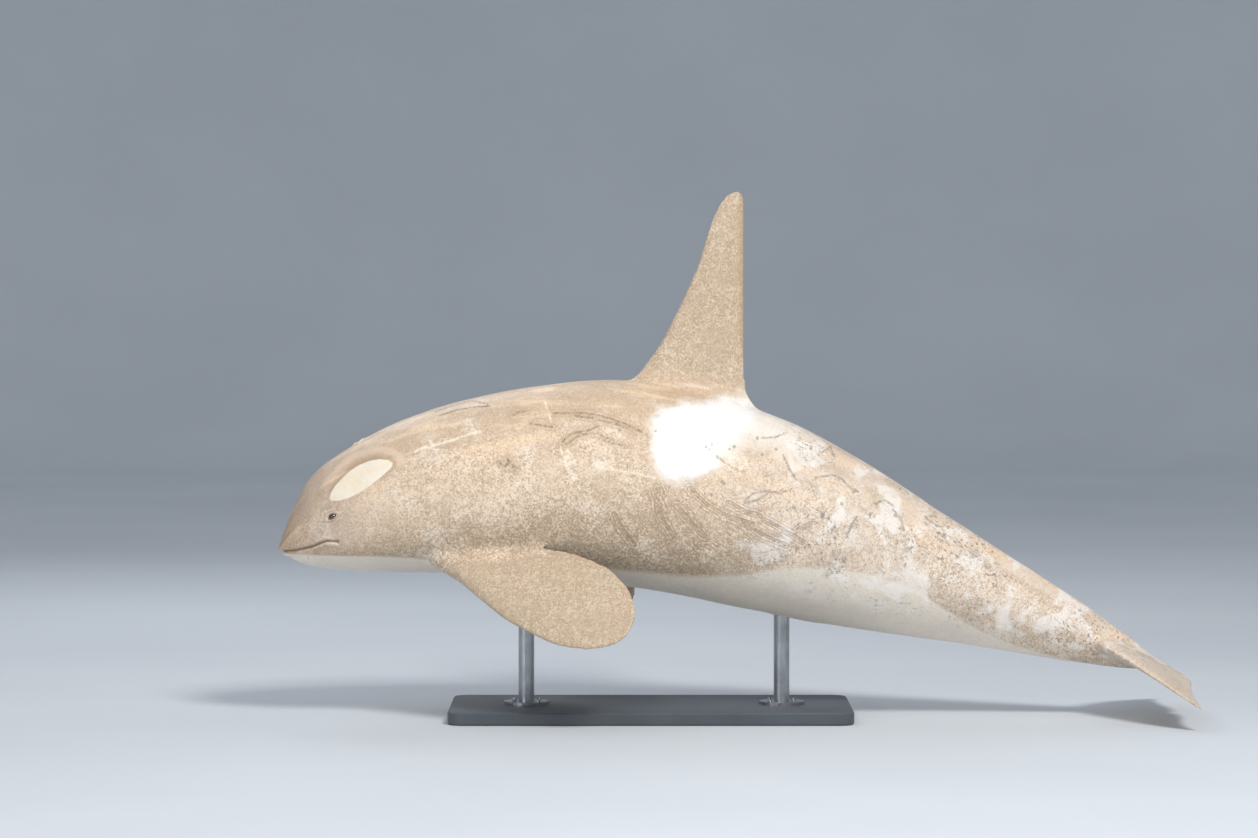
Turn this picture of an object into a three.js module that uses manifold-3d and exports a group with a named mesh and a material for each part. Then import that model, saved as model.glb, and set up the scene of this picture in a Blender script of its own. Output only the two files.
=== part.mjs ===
// A life-size adult male orca of the pale, leucistic kind, arched as it rolls at the surface, held
// on a plain display stand. Millimetres, +Z up. The snout points along -X and the tail along +X, and
// the animal's left side faces -Y. The origin is the middle of the underside of the stand's base.
//
// The body is drawn straight first: a place on it is a share of the body's length behind the snout
// tip, with heights and half widths as shares of that length too. The spine's pitch then bends it.
import * as THREE from 'three';
import { mergeVertices } from 'three/addons/utils/BufferGeometryUtils.js';
import Module from 'manifold-3d';

const wasm = await Module();
wasm.setup();

// Driving dimensions
const BODY_LENGTH = 6800;        // snout tip to fluke notch, along the bent spine
const FIN_HEIGHT = 1407;         // dorsal fin above the back at its middle
const FLIPPER_LENGTH = 1380;
const FLUKE_HALF_SPAN = 1130;
const SNOUT_X = -2690;           // snout tip, from the middle of the base
const SNOUT_Z = 1190;            // snout tip, above the floor
const GAP = 0.3;                 // left between pieces that touch
const WELD = 0.02;               // corners closer together than this are one

// Spine pitch: how far the tail end of the axis points below level, in degrees, along the body
const PITCH = [
  [0, -21], [0.1, -18], [0.2, -9.3], [0.32, 0.7], [0.44, 11.3], [0.58, 18.7], [0.75, 20], [1, 22],
];

// Body profile along the body: back and belly heights off the axis, and half width
const BACK = [
  [0, 0.0132], [0.03, 0.0378], [0.055, 0.0614], [0.08, 0.0732], [0.105, 0.0785], [0.14, 0.0888],
  [0.2, 0.0994], [0.28, 0.1097], [0.38, 0.12], [0.5, 0.113], [0.6, 0.097], [0.7, 0.073],
  [0.8, 0.05], [0.88, 0.0325], [0.94, 0.018], [0.96, 0.011], [0.975, 0.0062], [1, 0.002],
];
const BELLY = [
  [0, 0.012], [0.03, 0.0275], [0.055, 0.0392], [0.08, 0.05], [0.105, 0.0585], [0.14, 0.068],
  [0.2, 0.081], [0.28, 0.0925], [0.38, 0.0985], [0.5, 0.096], [0.6, 0.0855], [0.7, 0.068],
  [0.8, 0.0475], [0.88, 0.0315], [0.94, 0.0175], [0.96, 0.0108], [0.975, 0.006], [1, 0.002],
];
const HALF_WIDTH = [
  [0, 0.017], [0.03, 0.0385], [0.055, 0.054], [0.08, 0.0655], [0.105, 0.0735], [0.14, 0.0815],
  [0.2, 0.09], [0.28, 0.0965], [0.38, 0.0975], [0.5, 0.088], [0.6, 0.0725], [0.7, 0.0535],
  [0.8, 0.0345], [0.88, 0.0225], [0.94, 0.0155], [0.96, 0.0125], [0.975, 0.0085], [1, 0.002],
];
// Height of the widest line off the axis, and fullness of the section: 2 is an ellipse, less is keeled
const WIDEST = [[0, 0], [0.08, -0.01], [0.16, -0.012], [0.3, -0.006], [0.5, 0], [1, 0]];
const FULL_ABOVE = [[0, 2], [0.1, 2.1], [0.35, 2], [0.6, 1.9], [0.8, 1.62], [0.94, 1.6], [1, 2]];
const FULL_BELOW = [[0, 2], [0.1, 2.25], [0.35, 2.15], [0.6, 2], [0.8, 1.66], [0.94, 1.6], [1, 2]];
const NOSE_CAP = 0.03;           // length of the snout's rounded end
const CHIN_SETBACK = 0.004;      // how far the lower jaw stops behind the snout tip
const THINNEST = 3;              // no half of a body section is thinner than this

// Where the body divides into its pieces, and how many rings each piece gets
const PIECES = [
  { name: 'head', from: 0, to: 0.158, rings: 20 },
  { name: 'chest', from: 0.158, to: 0.335, rings: 10 },
  { name: 'torso', from: 0.335, to: 0.585, rings: 13 },
  { name: 'tail_stock_front', from: 0.585, to: 0.76, rings: 9 },
  { name: 'tail_stock_rear', from: 0.76, to: 0.882, rings: 7 },
];
const TAIL_PIECE = { from: 0.882, to: 0.985, rings: 8 };   // runs out inside the flukes
const RING_SIDES = 40;
const SNOUT_FLAT = 0.0006;       // the first ring's place
const SNOUT_CROWD = 1.7;         // how much closer the head's rings stand at the snout tip
const SURFACE_STEP = 0.004;      // how far either side the surface's slope is taken over

// Dorsal fin, by share of its height: chord as a share of the height, and where its trailing edge
// lies behind the upright line that it follows
const FIN_LINE_X = 3366;         // the trailing edge's upright line, behind the snout tip
const FIN_BASE_Z = 1213;         // the height that FIN_HEIGHT is measured from, above the snout tip
const FIN_CHORD = [
  [-0.2, 0.98], [-0.12, 0.84], [-0.05, 0.73], [0, 0.64], [0.04, 0.578], [0.09, 0.525], [0.18, 0.452],
  [0.33, 0.37], [0.49, 0.293], [0.64, 0.231], [0.8, 0.1825], [0.9, 0.143], [0.95, 0.112],
  [0.985, 0.068], [1, 0.012],
];
const FIN_TRAIL = [
  [-0.2, 0.13], [-0.12, 0.075], [-0.08, 0.048], [-0.05, 0.03], [0, 0.012], [0.06, 0.006], [0.14, 0],
  [0.95, 0], [0.985, -0.01], [1, -0.03],
];
const FIN_THICK = [
  [-0.2, 0.5], [-0.12, 0.36], [-0.05, 0.235], [0, 0.15], [0.08, 0.098], [0.25, 0.07], [0.6, 0.046],
  [0.9, 0.027], [1, 0.009],
];
const FIN_RINGS = [-0.2, -0.12, -0.085, -0.05, -0.02, 0.01, 0.045, 0.09, 0.16, 0.26, 0.38, 0.5, 0.62, 0.74,
  0.84, 0.91, 0.95, 0.975, 0.99, 1];

// Flipper, by share of its length: its front and rear edges off the span line, and its thickness
const FLIPPER_AT = 0.212;        // the root's middle, along the body
const FLIPPER_LOW = -0.058;      // the root's middle, off the axis
const FLIPPER_BACK = 46;         // sweep of the span line towards the tail, in degrees
const FLIPPER_DROOP = 40;        // droop of the span line below level, in degrees
const FLIPPER_TWIST = 12;        // how far the leading edge dips below the trailing edge, in degrees
const FLIPPER_FRONT = [[-0.2, 0.16], [0, 0.172], [0.2, 0.212], [0.45, 0.25], [0.65, 0.248], [0.82, 0.205],
  [0.93, 0.135], [0.985, 0.065], [1, 0.012]];
const FLIPPER_REAR = [[-0.2, 0.15], [0, 0.152], [0.2, 0.19], [0.45, 0.255], [0.65, 0.275], [0.82, 0.235],
  [0.93, 0.16], [0.985, 0.08], [1, 0.014]];
const FLIPPER_THICK = [[-0.2, 0.15], [0, 0.115], [0.15, 0.088], [0.5, 0.064], [0.85, 0.036], [1, 0.01]];
const FLIPPER_CURL = 0.055;      // how far the tip bends down off the span line
const CURL_POWER = 2;            // higher keeps the bend nearer the tip
const FLIPPER_RINGS = [-0.2, -0.12, -0.05, 0.03, 0.12, 0.23, 0.35, 0.47, 0.58, 0.69, 0.79, 0.87, 0.93,
  0.965, 0.987, 1];

// Flukes, by share of the half span: edges ahead of the notch and thickness, as shares of the half span
const FLUKE_FRONT = [[0, 0.64], [0.08, 0.612], [0.2, 0.557], [0.4, 0.452], [0.6, 0.325], [0.8, 0.168],
  [0.92, 0.046], [0.98, -0.035], [1, -0.078]];
const FLUKE_REAR = [[0, 0.01], [0.025, -0.02], [0.07, -0.05], [0.18, -0.062], [0.4, -0.046], [0.6, -0.026],
  [0.8, -0.028], [0.92, -0.055], [0.98, -0.08], [1, -0.092]];
const FLUKE_THICK = [[0, 0.155], [0.1, 0.125], [0.25, 0.088], [0.5, 0.056], [0.8, 0.028], [1, 0.009]];
const FLUKE_DROOP = 0.11;        // how far the tips curl down, as a share of the half span
const DROOP_POWER = 2.4;         // higher keeps the curl nearer the tips
const FLUKE_RINGS = [0, 0.03, 0.07, 0.13, 0.2, 0.29, 0.39, 0.5, 0.61, 0.72, 0.81, 0.88, 0.93, 0.965,
  0.988, 1];
const FOIL_POINTS = 10;          // along each face of a fin's section
const FOIL_EDGE = 0.035;         // trailing edge thickness, as a share of the section's thickness

// Mouth line on the head: places along the body and heights off the axis, snout tip to gape corner
const MOUTH = [
  [-0.02, 0.002], [0, 0.0005], [0.02, -0.003], [0.04, -0.0048], [0.054, -0.004], [0.067, -0.0085],
];
const MOUTH_STEP = 0.006;        // between the points drawn along the mouth line
const GAPE = 0.067;
const THROAT_AT = 0.115;         // where the lower jaw's piece ends under the throat
const LIP_RADIUS = 18;
const LIP_SUNK = 11;
const LIP_OFF = 15;              // each lip's middle above or below the mouth line
const LIP_STEPS = 14;
const LIP_TAPER = 0.75;          // share of the lip that keeps its full radius
const LIP_CROWD = 1.5;           // how much closer a lip's sections stand at the snout tip
const LIP_SIDES = 8;
const GROOVE_HALF = 5;
const GROOVE_DEPTH = 16;
const AHEAD = 0.02;              // a place ahead of the snout tip, where cutting shapes begin
const CLEAR_OF_HEAD = 0.12 * BODY_LENGTH;   // off the axis, outside the head on every side

// Eyes, lids and blowhole
const EYE_AT = 0.0705;
const EYE_UP = 0.018;
const EYE_RADIUS = 34;
const EYE_SUNK = 17;
const LID_LONG = 41;
const LID_TALL = 26;
const LID_RADIUS = 11;
const LID_STEPS = 14;
const LID_BULGE = 8;             // how much further out a lid's middle stands than its corners
const BLOWHOLE_AT = 0.117;
const BLOWHOLE_RADIUS = 74;
const BLOWHOLE_HALF_ANGLE = 58;
const BLOWHOLE_SLOT = 13;
const BLOWHOLE_DEPTH = 24;

// Stand
const BASE_LENGTH = 2900;
const BASE_WIDTH = 1360;
const BASE_HEIGHT = 90;
const BASE_CORNER = 120;
const BASE_BEVEL = 10;
const ROD_RADIUS = 57;
const ROD_SIDES = 32;
const ROD_X = [-900, 950];
const ROD_INTO_BODY = 420;       // extra length that the belly then trims off
const FLANGE_RADIUS = 165;
const FLANGE_HEIGHT = 22;

const radians = THREE.MathUtils.degToRad;

// A smooth curve through [place, value] knots that never overshoots them.
function curve(knots) {
  const x = knots.map((k) => k[0]);
  const y = knots.map((k) => k[1]);
  const last = x.length - 1;
  const step = x.slice(1).map((v, i) => v - x[i]);
  const slope = step.map((h, i) => (y[i + 1] - y[i]) / h);
  const tangent = y.map((_, i) => {
    if (i === 0 || i === last) return slope[i === 0 ? 0 : last - 1];
    if (slope[i - 1] * slope[i] <= 0) return 0;
    const before = 2 * step[i] + step[i - 1];
    const after = step[i] + 2 * step[i - 1];
    return (before + after) / (before / slope[i - 1] + after / slope[i]);
  });
  return (at) => {
    const p = THREE.MathUtils.clamp(at, x[0], x[last]);
    let i = 0;
    while (i < last - 1 && p > x[i + 1]) i += 1;
    const t = (p - x[i]) / step[i];
    const rise = (1 - t) * tangent[i] * step[i] * t * (1 - t) - t * tangent[i + 1] * step[i] * t * (1 - t);
    return y[i] * (1 + 2 * t) * (1 - t) ** 2 + y[i + 1] * t * t * (3 - 2 * t) + rise;
  };
}

const pitchAt = curve(PITCH);
const backAt = curve(BACK);
const bellyAt = curve(BELLY);
const halfAt = curve(HALF_WIDTH);
const widestAt = curve(WIDEST);
const fullAbove = curve(FULL_ABOVE);
const fullBelow = curve(FULL_BELOW);
const mouthAt = curve(MOUTH);

// The snout's rounded end: 0 at its tip and 1 from NOSE_CAP on.
function nose(at) {
  const left = THREE.MathUtils.clamp(1 - at / NOSE_CAP, 0, 1);
  return Math.sqrt(1 - left * left);
}

// The bent axis: points every AXIS_STEP along the body, from the snout tip.
const AXIS_STEP = 0.0025;
const axis = [new THREE.Vector3(SNOUT_X, 0, SNOUT_Z)];
for (let at = 0; at < 1 + AXIS_STEP; at += AXIS_STEP) {
  const down = radians(pitchAt(at + AXIS_STEP / 2));
  const move = new THREE.Vector3(Math.cos(down), 0, -Math.sin(down)).multiplyScalar(AXIS_STEP * BODY_LENGTH);
  axis.push(axis[axis.length - 1].clone().add(move));
}

// The frame at a place along the body: its axis point, and unit vectors tailward and up.
function frameAt(at) {
  const place = Math.max(at, 0) / AXIS_STEP;
  const i = Math.min(Math.floor(place), axis.length - 2);
  const down = radians(pitchAt(at));
  const tail = new THREE.Vector3(Math.cos(down), 0, -Math.sin(down));
  const centre = axis[i].clone().lerp(axis[i + 1], place - i);
  if (at < 0) centre.addScaledVector(tail, at * BODY_LENGTH);
  return { centre, tail, up: new THREE.Vector3(Math.sin(down), 0, Math.cos(down)) };
}

// A point given along the body, off the axis and to the side, with the last two in millimetres.
function bodyPoint(at, up, side) {
  const frame = frameAt(at);
  return frame.centre.addScaledVector(frame.up, up).add(new THREE.Vector3(0, side, 0));
}

// The section's sizes in millimetres at a place, grown all round by extra.
function section(at, extra = 0) {
  const widest = widestAt(at) * nose(at) * BODY_LENGTH;
  const above = backAt(at) * nose(at) * BODY_LENGTH - widest + extra;
  const below = bellyAt(at) * nose(at - CHIN_SETBACK) * BODY_LENGTH + widest + extra;
  const half = halfAt(at) * nose(at) * BODY_LENGTH + extra;
  return { widest, above, below: Math.max(below, THINNEST), half: Math.max(half, THINNEST) };
}

// One ring of the body's surface, from the back round by the right side to the belly and up the left.
function bodyRing(at, extra = 0) {
  const size = section(at, extra);
  const ring = [];
  for (let i = 0; i < RING_SIDES; i += 1) {
    const angle = (2 * Math.PI * i) / RING_SIDES;
    const over = Math.cos(angle);
    const aside = Math.sin(angle);
    const power = 2 / (over >= 0 ? fullAbove(at) : fullBelow(at));
    const rise = Math.sign(over) * Math.abs(over) ** power * (over >= 0 ? size.above : size.below);
    const side = Math.sign(aside) * Math.abs(aside) ** power * size.half;
    ring.push(bodyPoint(at, size.widest + rise, side));
  }
  return ring;
}

// The body's half width at a height off the axis, in millimetres.
function sideAt(at, up) {
  const size = section(at);
  const rise = up - size.widest;
  const power = rise >= 0 ? fullAbove(at) : fullBelow(at);
  const share = Math.min(Math.abs(rise) / (rise >= 0 ? size.above : size.below), 1);
  return size.half * (1 - share ** power) ** (1 / power);
}

// A closed geometry through rings of equal count, with both ends capped by fans. The second half of
// each ring is split into triangles as the mirror of the first half.
function loft(rings) {
  const count = rings[0].length;
  const points = rings.flat();
  const faces = [];
  for (let r = 0; r + 1 < rings.length; r += 1) {
    for (let i = 0; i < count; i += 1) {
      const a = r * count + i;
      const b = r * count + ((i + 1) % count);
      const [c, d] = [a + count, b + count];
      if (i < count / 2) faces.push([a, b, d], [a, d, c]);
      else faces.push([a, b, c], [b, d, c]);
    }
  }
  for (const [r, turned] of [[0, true], [rings.length - 1, false]]) {
    const middle = rings[r].reduce((sum, p) => sum.add(p), new THREE.Vector3()).divideScalar(count);
    points.push(middle);
    for (let i = 0; i < count; i += 1) {
      const a = r * count + i;
      const b = r * count + ((i + 1) % count);
      faces.push(turned ? [b, a, points.length - 1] : [a, b, points.length - 1]);
    }
  }
  return facingOut(points, faces);
}

// A geometry from points and faces, turned inside out if its volume comes out negative.
function facingOut(points, faces) {
  const sixfold = ([a, b, c]) => points[a].dot(points[b].clone().cross(points[c]));
  const volume = faces.reduce((sum, face) => sum + sixfold(face), 0);
  const geometry = new THREE.BufferGeometry().setFromPoints(points);
  geometry.setIndex(faces.flatMap(([a, b, c]) => (volume < 0 ? [a, c, b] : [a, b, c])));
  return geometry;
}

function mirrored(geometry) {
  const copy = geometry.clone().scale(1, -1, 1);
  const index = Array.from(copy.index.array);
  for (let i = 0; i < index.length; i += 3) [index[i + 1], index[i + 2]] = [index[i + 2], index[i + 1]];
  return copy.setIndex(index);
}

// The same surface with its corners shared and nothing but positions kept.
function welded(geometry) {
  const bare = geometry.clone();
  for (const name of ['normal', 'uv']) bare.deleteAttribute(name);
  return mergeVertices(bare, 1e-3);
}

function solid(geometry) {
  const merged = welded(geometry);
  const vertProperties = new Float32Array(merged.attributes.position.array);
  return new wasm.Manifold(
    new wasm.Mesh({ numProp: 3, vertProperties, triVerts: new Uint32Array(merged.index.array) }),
  );
}

// The largest closed surface of a solid, as a geometry.
function geometryOf(made) {
  const [largest] = made.decompose().sort((a, b) => b.volume() - a.volume());
  const mesh = largest.getMesh();
  const geometry = new THREE.BufferGeometry();
  const places = new Float32Array(mesh.numVert * 3);
  for (let i = 0; i < mesh.numVert; i += 1) {
    places.set(mesh.vertProperties.subarray(i * mesh.numProp, i * mesh.numProp + 3), i * 3);
  }
  geometry.setAttribute('position', new THREE.BufferAttribute(places, 3));
  geometry.setIndex(Array.from(mesh.triVerts));
  return withoutSlivers(geometry);
}

// Corners closer together than WELD become one, and triangles that close up are dropped.
function withoutSlivers(geometry) {
  const merged = mergeVertices(geometry, WELD);
  const index = [];
  for (let i = 0; i < merged.index.count; i += 3) {
    const [a, b, c] = merged.index.array.slice(i, i + 3);
    if (a !== b && b !== c && c !== a) index.push(a, b, c);
  }
  return merged.setIndex(index);
}

// Places for a piece's rings, set closer together towards the snout tip.
function ringPlaces({ from, to, rings }, extra = 0) {
  const crowd = from === 0 ? SNOUT_CROWD : 1;
  const start = from === 0 ? SNOUT_FLAT - extra / BODY_LENGTH : from + GAP / 2 / BODY_LENGTH;
  const end = to - GAP / 2 / BODY_LENGTH;
  return Array.from({ length: rings }, (_, i) => start + (end - start) * (i / (rings - 1)) ** crowd);
}

function bodyPiece(piece, extra = 0) {
  return loft(ringPlaces(piece, extra).map((at) => bodyRing(at, extra)));
}

// The whole body, grown by extra on every side: it trims whatever grows from the body or holds it.
function wholeBody(extra) {
  const places = [...PIECES, TAIL_PIECE].flatMap((piece) => ringPlaces(piece, extra));
  return solid(loft(places.map((at) => bodyRing(at, extra))));
}

// A prism along Y of an outline in the XZ plane.
function prism(outline, halfWidth) {
  const shape = new THREE.Shape(outline.map((p) => new THREE.Vector2(p.x, p.z)));
  const geometry = new THREE.ExtrudeGeometry(shape, { depth: 2 * halfWidth, bevelEnabled: false });
  return solid(geometry.rotateX(Math.PI / 2).translate(0, halfWidth, 0));
}

// A tube of a few sides along points, with its sections square to the path and to a given up.
function tube(points, radiusAt, sides, upAt) {
  const rings = points.map((p, i) => {
    const ahead = points[Math.min(i + 1, points.length - 1)];
    const behind = points[Math.max(i - 1, 0)];
    const along = ahead.clone().sub(behind).normalize();
    const out = along.clone().cross(upAt(i)).normalize();
    const up = out.clone().cross(along);
    return Array.from({ length: sides }, (_, k) => {
      const angle = (2 * Math.PI * k) / sides;
      return p.clone().addScaledVector(out, Math.cos(angle) * radiusAt(i))
        .addScaledVector(up, Math.sin(angle) * radiusAt(i));
    });
  });
  return solid(loft(rings));
}

// A fin's section: half thickness along the chord, 1 at its thickest.
function foil(share) {
  const curveOfFoil = 2.969 * Math.sqrt(share) - 1.26 * share - 3.516 * share ** 2
    + 2.843 * share ** 3 - 1.036 * share ** 4;
  return Math.max(curveOfFoil, 0) + FOIL_EDGE * share;
}

// A closed ring round a fin's section between its leading and trailing edges.
function foilRing(lead, trail, out, thick) {
  const turn = Math.PI / (FOIL_POINTS - 1);
  const chord = Array.from({ length: FOIL_POINTS }, (_, i) => (1 - Math.cos(i * turn)) / 2);
  const face = (side) => (share) => lead.clone().lerp(trail, share)
    .addScaledVector(out, side * foil(share) * thick / 2);
  return [...chord.map(face(1)), ...chord.slice(1).reverse().map(face(-1))];
}

// The body's surface at a place and a height off the axis, on the left side or the right: the point
// there, and unit vectors tailward, up and out of the body.
function surfaceAt(at, up, side) {
  const place = (s, u) => bodyPoint(s, u, side * sideAt(s, u));
  const along = place(at + SURFACE_STEP, up).sub(place(at - SURFACE_STEP, up)).normalize();
  const reach = SURFACE_STEP * BODY_LENGTH / 2;
  const rise = place(at, up + reach).sub(place(at, up - reach)).normalize();
  const out = rise.clone().cross(along).multiplyScalar(side).normalize();
  return { spot: place(at, up), along, rise, out };
}

// The line that a lip's middle follows, sunk into the head a little above or below the mouth line,
// from the left gape corner round the snout tip to the right one.
function lipPath(rise) {
  const upAt = (at) => mouthAt(at) * BODY_LENGTH + rise;
  let start = 0;
  while (sideAt(start, upAt(start)) < 3 * LIP_SUNK) start += SURFACE_STEP / 20;
  const path = [];
  for (let i = -LIP_STEPS; i <= LIP_STEPS; i += 1) {
    const at = start + (GAPE - start) * (Math.abs(i) / LIP_STEPS) ** LIP_CROWD;
    const { spot, out } = surfaceAt(at, upAt(at), Math.sign(i));
    path.push(i === 0 ? bodyPoint(start, upAt(start), 0) : spot.addScaledVector(out, -LIP_SUNK));
  }
  return path;
}

function lip(rise) {
  const up = () => frameAt(GAPE / 2).up;
  const radiusAt = (i) => {
    const past = Math.max(Math.abs(i / LIP_STEPS - 1) - LIP_TAPER, 0) / (1 - LIP_TAPER);
    return LIP_RADIUS * (1 - 0.5 * past);
  };
  return tube(lipPath(rise), radiusAt, LIP_SIDES, up);
}

// The outline of the lower jaw's region from the side, drawn back by room all round.
function jawOutline(room) {
  const line = [];
  for (let at = -AHEAD; at < GAPE; at += MOUTH_STEP) {
    line.push(bodyPoint(at, mouthAt(at) * BODY_LENGTH - room, 0));
  }
  const back = room / BODY_LENGTH;
  line.push(bodyPoint(GAPE - back, mouthAt(GAPE) * BODY_LENGTH - room, 0));
  line.push(bodyPoint(THROAT_AT - back, -CLEAR_OF_HEAD, 0));
  line.push(bodyPoint(-AHEAD, -CLEAR_OF_HEAD, 0));
  return line;
}

// A thin band along the mouth line, only as deep as the groove between the lips.
function mouthGroove() {
  const upper = [];
  const lower = [];
  for (let at = -AHEAD; at < GAPE + MOUTH_STEP / 2; at += MOUTH_STEP) {
    upper.push(bodyPoint(at, mouthAt(at) * BODY_LENGTH + GROOVE_HALF, 0));
    lower.unshift(bodyPoint(at, mouthAt(at) * BODY_LENGTH - GROOVE_HALF, 0));
  }
  const inside = solid(bodyPiece(PIECES[0], -GROOVE_DEPTH));
  return prism([...upper, ...lower], CLEAR_OF_HEAD).subtract(inside);
}

// The surface at the left eye.
function eyeFrame() {
  return surfaceAt(EYE_AT, EYE_UP * BODY_LENGTH, -1);
}

function eyeBall(extra) {
  const { spot, out } = eyeFrame();
  const ball = welded(new THREE.IcosahedronGeometry(EYE_RADIUS + extra, 3));
  const centre = spot.clone().addScaledVector(out, -EYE_SUNK);
  return ball.translate(centre.x, centre.y, centre.z);
}

// The lids: an almond-shaped rim round the eye, pointed at its two corners.
function lids() {
  const { spot, along, rise, out } = eyeFrame();
  return [1, -1].map((half) => {
    const path = [];
    for (let i = 0; i <= LID_STEPS; i += 1) {
      const angle = Math.PI * (i / LID_STEPS);
      const height = LID_TALL * Math.sin(angle) * half;
      const bulge = LID_BULGE * (Math.sin(angle) - 0.5);
      path.push(spot.clone().addScaledVector(along, LID_LONG * Math.cos(angle))
        .addScaledVector(rise, height).addScaledVector(out, bulge));
    }
    return tube(path, () => LID_RADIUS, LIP_SIDES, () => out);
  });
}

// The blowhole's slot: a crescent with its ends pointing forward.
function blowholeSlot() {
  const shape = new THREE.Shape();
  const half = radians(BLOWHOLE_HALF_ANGLE);
  shape.absarc(0, 0, BLOWHOLE_RADIUS + BLOWHOLE_SLOT / 2, -half, half, false);
  shape.absarc(0, 0, BLOWHOLE_RADIUS - BLOWHOLE_SLOT / 2, half, -half, true);
  const depth = BLOWHOLE_DEPTH * 3;
  const slot = new THREE.ExtrudeGeometry(shape, { depth, bevelEnabled: false, curveSegments: 14 });
  const { tail, up } = frameAt(BLOWHOLE_AT);
  const side = new THREE.Vector3().crossVectors(up, tail);
  const floor = bodyPoint(BLOWHOLE_AT, section(BLOWHOLE_AT).above + section(BLOWHOLE_AT).widest, 0)
    .addScaledVector(up, -BLOWHOLE_DEPTH).addScaledVector(tail, -BLOWHOLE_RADIUS);
  const place = new THREE.Matrix4().makeBasis(tail, side, up).setPosition(floor);
  return solid(slot.applyMatrix4(place));
}

function dorsalFin() {
  const chordAt = curve(FIN_CHORD);
  const trailAt = curve(FIN_TRAIL);
  const thickAt = curve(FIN_THICK);
  const out = new THREE.Vector3(0, 1, 0);
  return loft(FIN_RINGS.map((share) => {
    const x = SNOUT_X + FIN_LINE_X + trailAt(share) * FIN_HEIGHT;
    const z = SNOUT_Z + FIN_BASE_Z + share * FIN_HEIGHT;
    const trail = new THREE.Vector3(x, 0, z);
    const lead = new THREE.Vector3(x - chordAt(share) * FIN_HEIGHT, 0, z);
    return foilRing(lead, trail, out, thickAt(share) * FIN_HEIGHT);
  }));
}

// The left flipper, from inside the chest out to its tip.
function flipper() {
  const frontAt = curve(FLIPPER_FRONT);
  const rearAt = curve(FLIPPER_REAR);
  const thickAt = curve(FLIPPER_THICK);
  const low = FLIPPER_LOW * BODY_LENGTH;
  const root = bodyPoint(FLIPPER_AT, low, -sideAt(FLIPPER_AT, low));
  const { tail, up } = frameAt(FLIPPER_AT);
  const [back, droop] = [radians(FLIPPER_BACK), radians(FLIPPER_DROOP)];
  const span = new THREE.Vector3(0, -Math.cos(back) * Math.cos(droop), 0)
    .addScaledVector(tail, Math.sin(back)).addScaledVector(up, -Math.cos(back) * Math.sin(droop));
  const rearward = tail.clone().addScaledVector(span, -tail.dot(span)).normalize()
    .applyAxisAngle(span, radians(FLIPPER_TWIST));
  const out = span.clone().cross(rearward).normalize();
  if (out.z < 0) out.negate();
  return loft(FLIPPER_RINGS.map((share) => {
    const middle = root.clone().addScaledVector(span, share * FLIPPER_LENGTH)
      .addScaledVector(out, -FLIPPER_CURL * FLIPPER_LENGTH * Math.max(share, 0) ** CURL_POWER);
    const lead = middle.clone().addScaledVector(rearward, -frontAt(share) * FLIPPER_LENGTH);
    const trail = middle.clone().addScaledVector(rearward, rearAt(share) * FLIPPER_LENGTH);
    return foilRing(lead, trail, out, thickAt(share) * FLIPPER_LENGTH);
  }));
}

// Both flukes as one wing, from tip to tip across the notch.
function flukeWing() {
  const frontAt = curve(FLUKE_FRONT);
  const rearAt = curve(FLUKE_REAR);
  const thickAt = curve(FLUKE_THICK);
  const { centre, tail, up } = frameAt(1);
  const shares = [...FLUKE_RINGS.slice(1).reverse().map((share) => -share), ...FLUKE_RINGS];
  return loft(shares.map((signed) => {
    const share = Math.abs(signed);
    const middle = centre.clone().addScaledVector(up, -FLUKE_DROOP * FLUKE_HALF_SPAN * share ** DROOP_POWER)
      .add(new THREE.Vector3(0, signed * FLUKE_HALF_SPAN, 0));
    const lead = middle.clone().addScaledVector(tail, -frontAt(share) * FLUKE_HALF_SPAN);
    const trail = middle.clone().addScaledVector(tail, -rearAt(share) * FLUKE_HALF_SPAN);
    return foilRing(lead, trail, up, thickAt(share) * FLUKE_HALF_SPAN);
  }));
}

function standBase() {
  const [x, y] = [BASE_LENGTH / 2 - BASE_BEVEL, BASE_WIDTH / 2 - BASE_BEVEL];
  const corner = BASE_CORNER - BASE_BEVEL;
  const shape = new THREE.Shape();
  shape.absarc(x - corner, y - corner, corner, 0, Math.PI / 2);
  shape.absarc(-x + corner, y - corner, corner, Math.PI / 2, Math.PI);
  shape.absarc(-x + corner, -y + corner, corner, Math.PI, 1.5 * Math.PI);
  shape.absarc(x - corner, -y + corner, corner, 1.5 * Math.PI, 2 * Math.PI);
  return new THREE.ExtrudeGeometry(shape, {
    depth: BASE_HEIGHT - 2 * BASE_BEVEL,
    bevelThickness: BASE_BEVEL,
    bevelSize: BASE_BEVEL,
    bevelSegments: 1,
    curveSegments: 6,
  }).translate(0, 0, BASE_BEVEL);
}

function upright(radius, height, x, z) {
  return new THREE.CylinderGeometry(radius, radius, height, ROD_SIDES)
    .rotateX(Math.PI / 2).translate(x, 0, z + height / 2);
}

// Colours and finishes from the photograph
const skin = { color: 0xdfc7aa, roughness: 0.38, metalness: 0 };
const paleSkin = { color: 0xe6d3bb, roughness: 0.38, metalness: 0 };
const darkEye = { color: 0x2a211c, roughness: 0.12, metalness: 0 };
const steel = { color: 0x9a9da1, roughness: 0.32, metalness: 1 };
const paintedBase = { color: 0x3d444b, roughness: 0.55, metalness: 0 };

const orca = new THREE.Group();
function add(name, geometry, look) {
  const mesh = new THREE.Mesh(geometry, new THREE.MeshStandardMaterial(look));
  mesh.name = name;
  orca.add(mesh);
}

const clearOfBody = wholeBody(GAP);

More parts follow.
